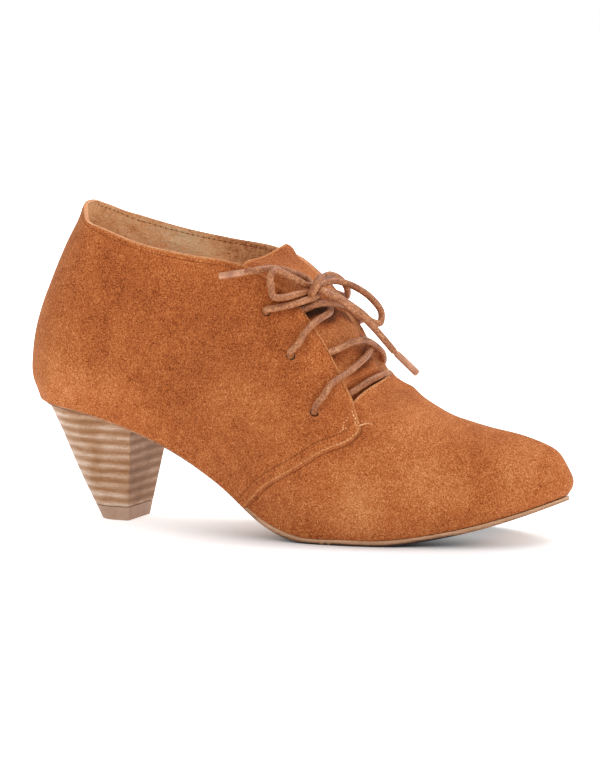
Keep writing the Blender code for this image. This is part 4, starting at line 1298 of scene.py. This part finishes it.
# %% Painted light and shade of the tongue
TOP_PAINTED_SHADE, THROAT_PAINTED_LIGHT = -0.08, 0.10
THROAT_ZONE, TOP_ZONE = (116.0, 130.0), (112.0, 122.0)      # mm along, where one shade meets the next
TOP_RIM_PAINTED_HIGHLIGHT, TOP_RIM_REACH = 0.2, 1.0
LACE_SHADE, LACE_SHADE_REACH, LACE_SHADE_DROP = -0.45, 1.6, 1.5     # the shadow falls below each cord
KNOT_SHADOWS = [
    # start, end, reach, lightness: where the bow keeps the light off
    ((131.5, -19.0, 98.0), (138.5, -4.0, 98.0), 5.0, -0.9),
    ((132.0, -19.5, 96.0), (155.0, -22.0, 58.0), 3.0, -0.25),
]
in_shoe = shoe_points(points)
# painted shade at the top and painted light in the throat, painted shadows under the cords and the bow, and a
# painted highlight along the top edge
tongue_painted_light = TOP_PAINTED_SHADE + (THROAT_PAINTED_LIGHT - TOP_PAINTED_SHADE) * smooth_step(*THROAT_ZONE, in_shoe[:, 0])
raised = [Vector(point) + Vector((0.0, 0.0, LACE_SHADE_DROP * MM)) for point in points]
past = np.maximum(gaps_to(lace_spots, raised) / MM - LACE_CLEARANCE, 0.0)
tongue_painted_light += LACE_SHADE * falloff(past, LACE_SHADE_REACH)
for start, end, reach, lightness in KNOT_SHADOWS:
    tongue_painted_light += lightness * falloff(distance_to_segment(points, start, end), reach * MM)
to_rim = np.minimum(distance_to_lines(tongue, panel_lines(tongue, FRONT_SLOT, BACK_SLOT)), FAR_OFF)
at_top = 1.0 - smooth_step(*TOP_ZONE, in_shoe[:, 0])
store(tongue, "tone_and_painted_light", tongue_painted_light + TOP_RIM_PAINTED_HIGHLIGHT * at_top * falloff(to_rim, TOP_RIM_REACH))
store(tongue, "rim", to_rim)
store(tongue, "seam", np.full(len(points), FAR_OFF))
keep(tongue, "suede", "tongue")

# %% [markdown]
# Sole, heel and insole are firm pieces. Their copies keep crisp edges: every sharp edge is creased fully,
# so that only the outline is rounded, and a small bevel takes the edge off.

# %% Sole, heel and insole
FIRM_ANGLE = 32.0                       # degrees: edges sharper than this stay crisp
BEVEL_ANGLE = math.radians(40)


def firm_piece(node, name, material, slot, bevel):
    """A dressed copy with crisp, bevelled edges, kept."""
    piece = dressed_copy(node, name, material)
    mark_sharp(piece, FIRM_ANGLE)
    crease_sharp(piece, lambda slots: FULL_CREASE)
    subdivide(piece)
    pick(piece)
    bpy.ops.object.modifier_add(type="BEVEL")
    modifier = piece.modifiers[-1]
    modifier.width = bevel * MM
    modifier.segments = 2
    modifier.limit_method = "ANGLE"
    modifier.angle_limit = BEVEL_ANGLE
    bpy.ops.object.modifier_apply(modifier=modifier.name)
    bpy.ops.object.shade_smooth_by_angle(angle=BEVEL_ANGLE)
    return keep(piece, slot, node)


outsole = firm_piece("outsole", "leather_outsole", sole_leather, "sole_leather", 0.35)
firm_piece("insole", "sock_lining", lining, "lining_leather", 0.4)
heel = firm_piece("heel", "stacked_heel", stack, "stacked_leather", 0.3)
firm_piece("heel_top_lift", "heel_tip", top_lift, "top_lift", 0.4)

# %% [markdown]
# The back of the heel is drawn in a little under its seat. It gets a painted highlight where it catches the
# light, while the breast, which is the heel's flat front, gets painted shade where it lies in the sole's
# shade.

# %% Shape, painted highlight and painted shade of the heel
HEEL_BACK = np.array([-0.92, -0.38, 0.0])
HEEL_HOLLOW, HOLLOW_ZONE = 1.7, (14.0, 46.0)    # mm at the most, and the heights where it begins and is full
HEEL_PAINTED_HIGHLIGHT, BREAST_PAINTED_SHADE = 0.22, -0.08
points, normals = read_points(heel.data)
backwards = np.clip(normals @ HEEL_BACK, 0.0, 1.0)
hollow = HEEL_HOLLOW * smooth_step(*HOLLOW_ZONE, points[:, 2] / MM) * backwards
points -= hollow[:, None] * HEEL_BACK * MM
write_points(heel.data, points)
# a painted highlight on the back, and painted shade on the breast
store(heel, "tone_and_painted_light", HEEL_PAINTED_HIGHLIGHT * backwards ** 2 + BREAST_PAINTED_SHADE * np.clip(normals[:, 0], 0.0, 1.0))
print("heel drawn in by", round(hollow.max(), 2), "mm")

# %% [markdown]
# The sole's top comes up to meet the upper, with no slit between them. Its edge has a painted shadow along
# its foot, most at the ball, where it meets the floor.

# %% Shape and painted shadow of the sole
SOLE_RISE = 0.25                        # mm
TOP_NORMAL, TREAD_NORMAL, FLAT_NORMAL = 0.6, -0.7, -0.995      # heights of the normals, to tell faces apart
SOLE_PAINTED_SHADOW, BALL_PAINTED_SHADOW, TREAD_SHADE = -0.2, -0.6, -0.1
SOLE_SHADE_REACH = 0.9                  # mm above the tread
BALL_START, BALL_END = (122.0, 150.0), (190.0, 216.0)          # mm along, where its shade comes and goes
points, normals = read_points(outsole.data)
points[:, 2] += np.where(normals[:, 2] > TOP_NORMAL, SOLE_RISE * MM, 0.0)
write_points(outsole.data, points)
above = gaps_to(points[normals[:, 2] < TREAD_NORMAL], points) / MM
along = shoe_points(points)[:, 0]
at_ball = smooth_step(*BALL_START, along) * (1.0 - smooth_step(*BALL_END, along))
# painted shadow along the foot of the edge, most at the ball
edge_painted_shadow = (SOLE_PAINTED_SHADOW + BALL_PAINTED_SHADOW * at_ball) * falloff(above, SOLE_SHADE_REACH)
store(outsole, "tone_and_painted_light", np.where(normals[:, 2] < FLAT_NORMAL, TREAD_SHADE, edge_painted_shadow))
print("vertices of the tread:", np.count_nonzero(normals[:, 2] < TREAD_NORMAL))

# %% [markdown]
# The floor is pale, as in a packshot tent. A tent's white floor is lit from all sides, so here it glows a
# little, which is painted light. The glow rises away from the forefoot and from the line where the ball meets
# the floor, which paints the shadow soft, and deepest there.

# %% Floor
FLOOR_SIZE = 60.0
FLOOR_COLOUR, WHITE = (0.93, 0.94, 0.95, 1.0), (1.0, 1.0, 1.0, 1.0)
FOREFOOT = (0.07, -0.03, 0.0)
FOREFOOT_RISES = [
    # metres where the glow begins to rise and where it ends, and how far it rises
    (0.06, 0.17, 0.22),
    (0.2, 1.6, 0.7),
]
BALL, BALL_STRETCH = (0.06, -0.034, 0.0), (0.34, 1.0, 1.0)
BALL_RISE = (0.006, 0.046, 0.38)


def add_vector(tree, operation, first, second=(0.0, 0.0, 0.0), put_out="Vector"):
    """A step of vector arithmetic."""
    return add_node(tree, "ShaderNodeVectorMath", {0: first, 1: second}, operation=operation).outputs[put_out]


def add_rise(tree, distance, low, high, most):
    """A soft rise from 0 at the low distance to the most at the high one."""
    return add_node(tree, "ShaderNodeMapRange", {
        "Value": distance, "From Min": low, "From Max": high, "To Max": most},
        interpolation_type="SMOOTHSTEP").outputs["Result"]


bpy.ops.mesh.primitive_plane_add(size=FLOOR_SIZE, location=(0.0, 0.0, 0.0))
floor = bpy.context.active_object
floor.name = "floor"
floor_material, tree, shader, coordinates = fresh_material("floor_white", 0.9, Specular_IOR_Level=0.05)
shader.inputs["Base Color"].default_value = FLOOR_COLOUR
shader.inputs["Emission Color"].default_value = WHITE
# painted light: the floor's glow, dimmest at the forefoot and along the ball's line
away = add_vector(tree, "DISTANCE", coordinates, FOREFOOT, "Value")
near_rise, wide_rise = (add_rise(tree, away, *row) for row in FOREFOOT_RISES)
from_ball = add_vector(tree, "MULTIPLY", add_vector(tree, "SUBTRACT", coordinates, BALL), BALL_STRETCH)
ball_rise = add_rise(tree, add_vector(tree, "LENGTH", from_ball, put_out="Value"), *BALL_RISE)
glow = add_math(tree, "ADD", add_math(tree, "ADD", near_rise, wide_rise), ball_rise)
tree.links.new(glow, shader.inputs["Emission Strength"])
floor.data.materials.append(floor_material)

# %% [markdown]
# Large panels give soft light: a weak key from the front, a fill from the toe's side, and the strongest from
# above and behind. The sky is white where the camera sees it, and dimmer as a light.

# %% Light
LIGHTS = [
    # name, place and size in metres, power in watts
    ("key", (-0.3, -1.7, 1.4), 1.4, 4.2),
    ("fill", (1.7, -0.7, 1.1), 1.2, 8.0),
    ("top", (0.3, 0.65, 1.8), 1.8, 28.0),
]
LIGHT_AIM = Vector((0.0, 0.0, 0.05))
SKY_SEEN, SKY_LIGHT = 1.0, 0.5
for name, spot, size, power in LIGHTS:
    bpy.ops.object.light_add(type="AREA", location=spot)
    light = bpy.context.active_object
    light.name = name
    light.data.size = size
    light.data.energy = power
    light.rotation_euler = (LIGHT_AIM - Vector(spot)).to_track_quat("-Z", "Y").to_euler()
world = bpy.data.worlds.new("studio")
bpy.context.scene.world = world
world.use_nodes = True
tree = world.node_tree
seen = add_node(tree, "ShaderNodeLightPath").outputs["Is Camera Ray"]
strength = add_math(tree, "ADD", SKY_LIGHT, add_math(tree, "MULTIPLY", seen, SKY_SEEN - SKY_LIGHT))
tree.links.new(strength, tree.nodes["Background"].inputs["Strength"])
tree.nodes["Background"].inputs["Color"].default_value = WHITE
bpy.context.scene.view_settings.view_transform = "Standard"
print("lights:", ", ".join(light[0] for light in LIGHTS))
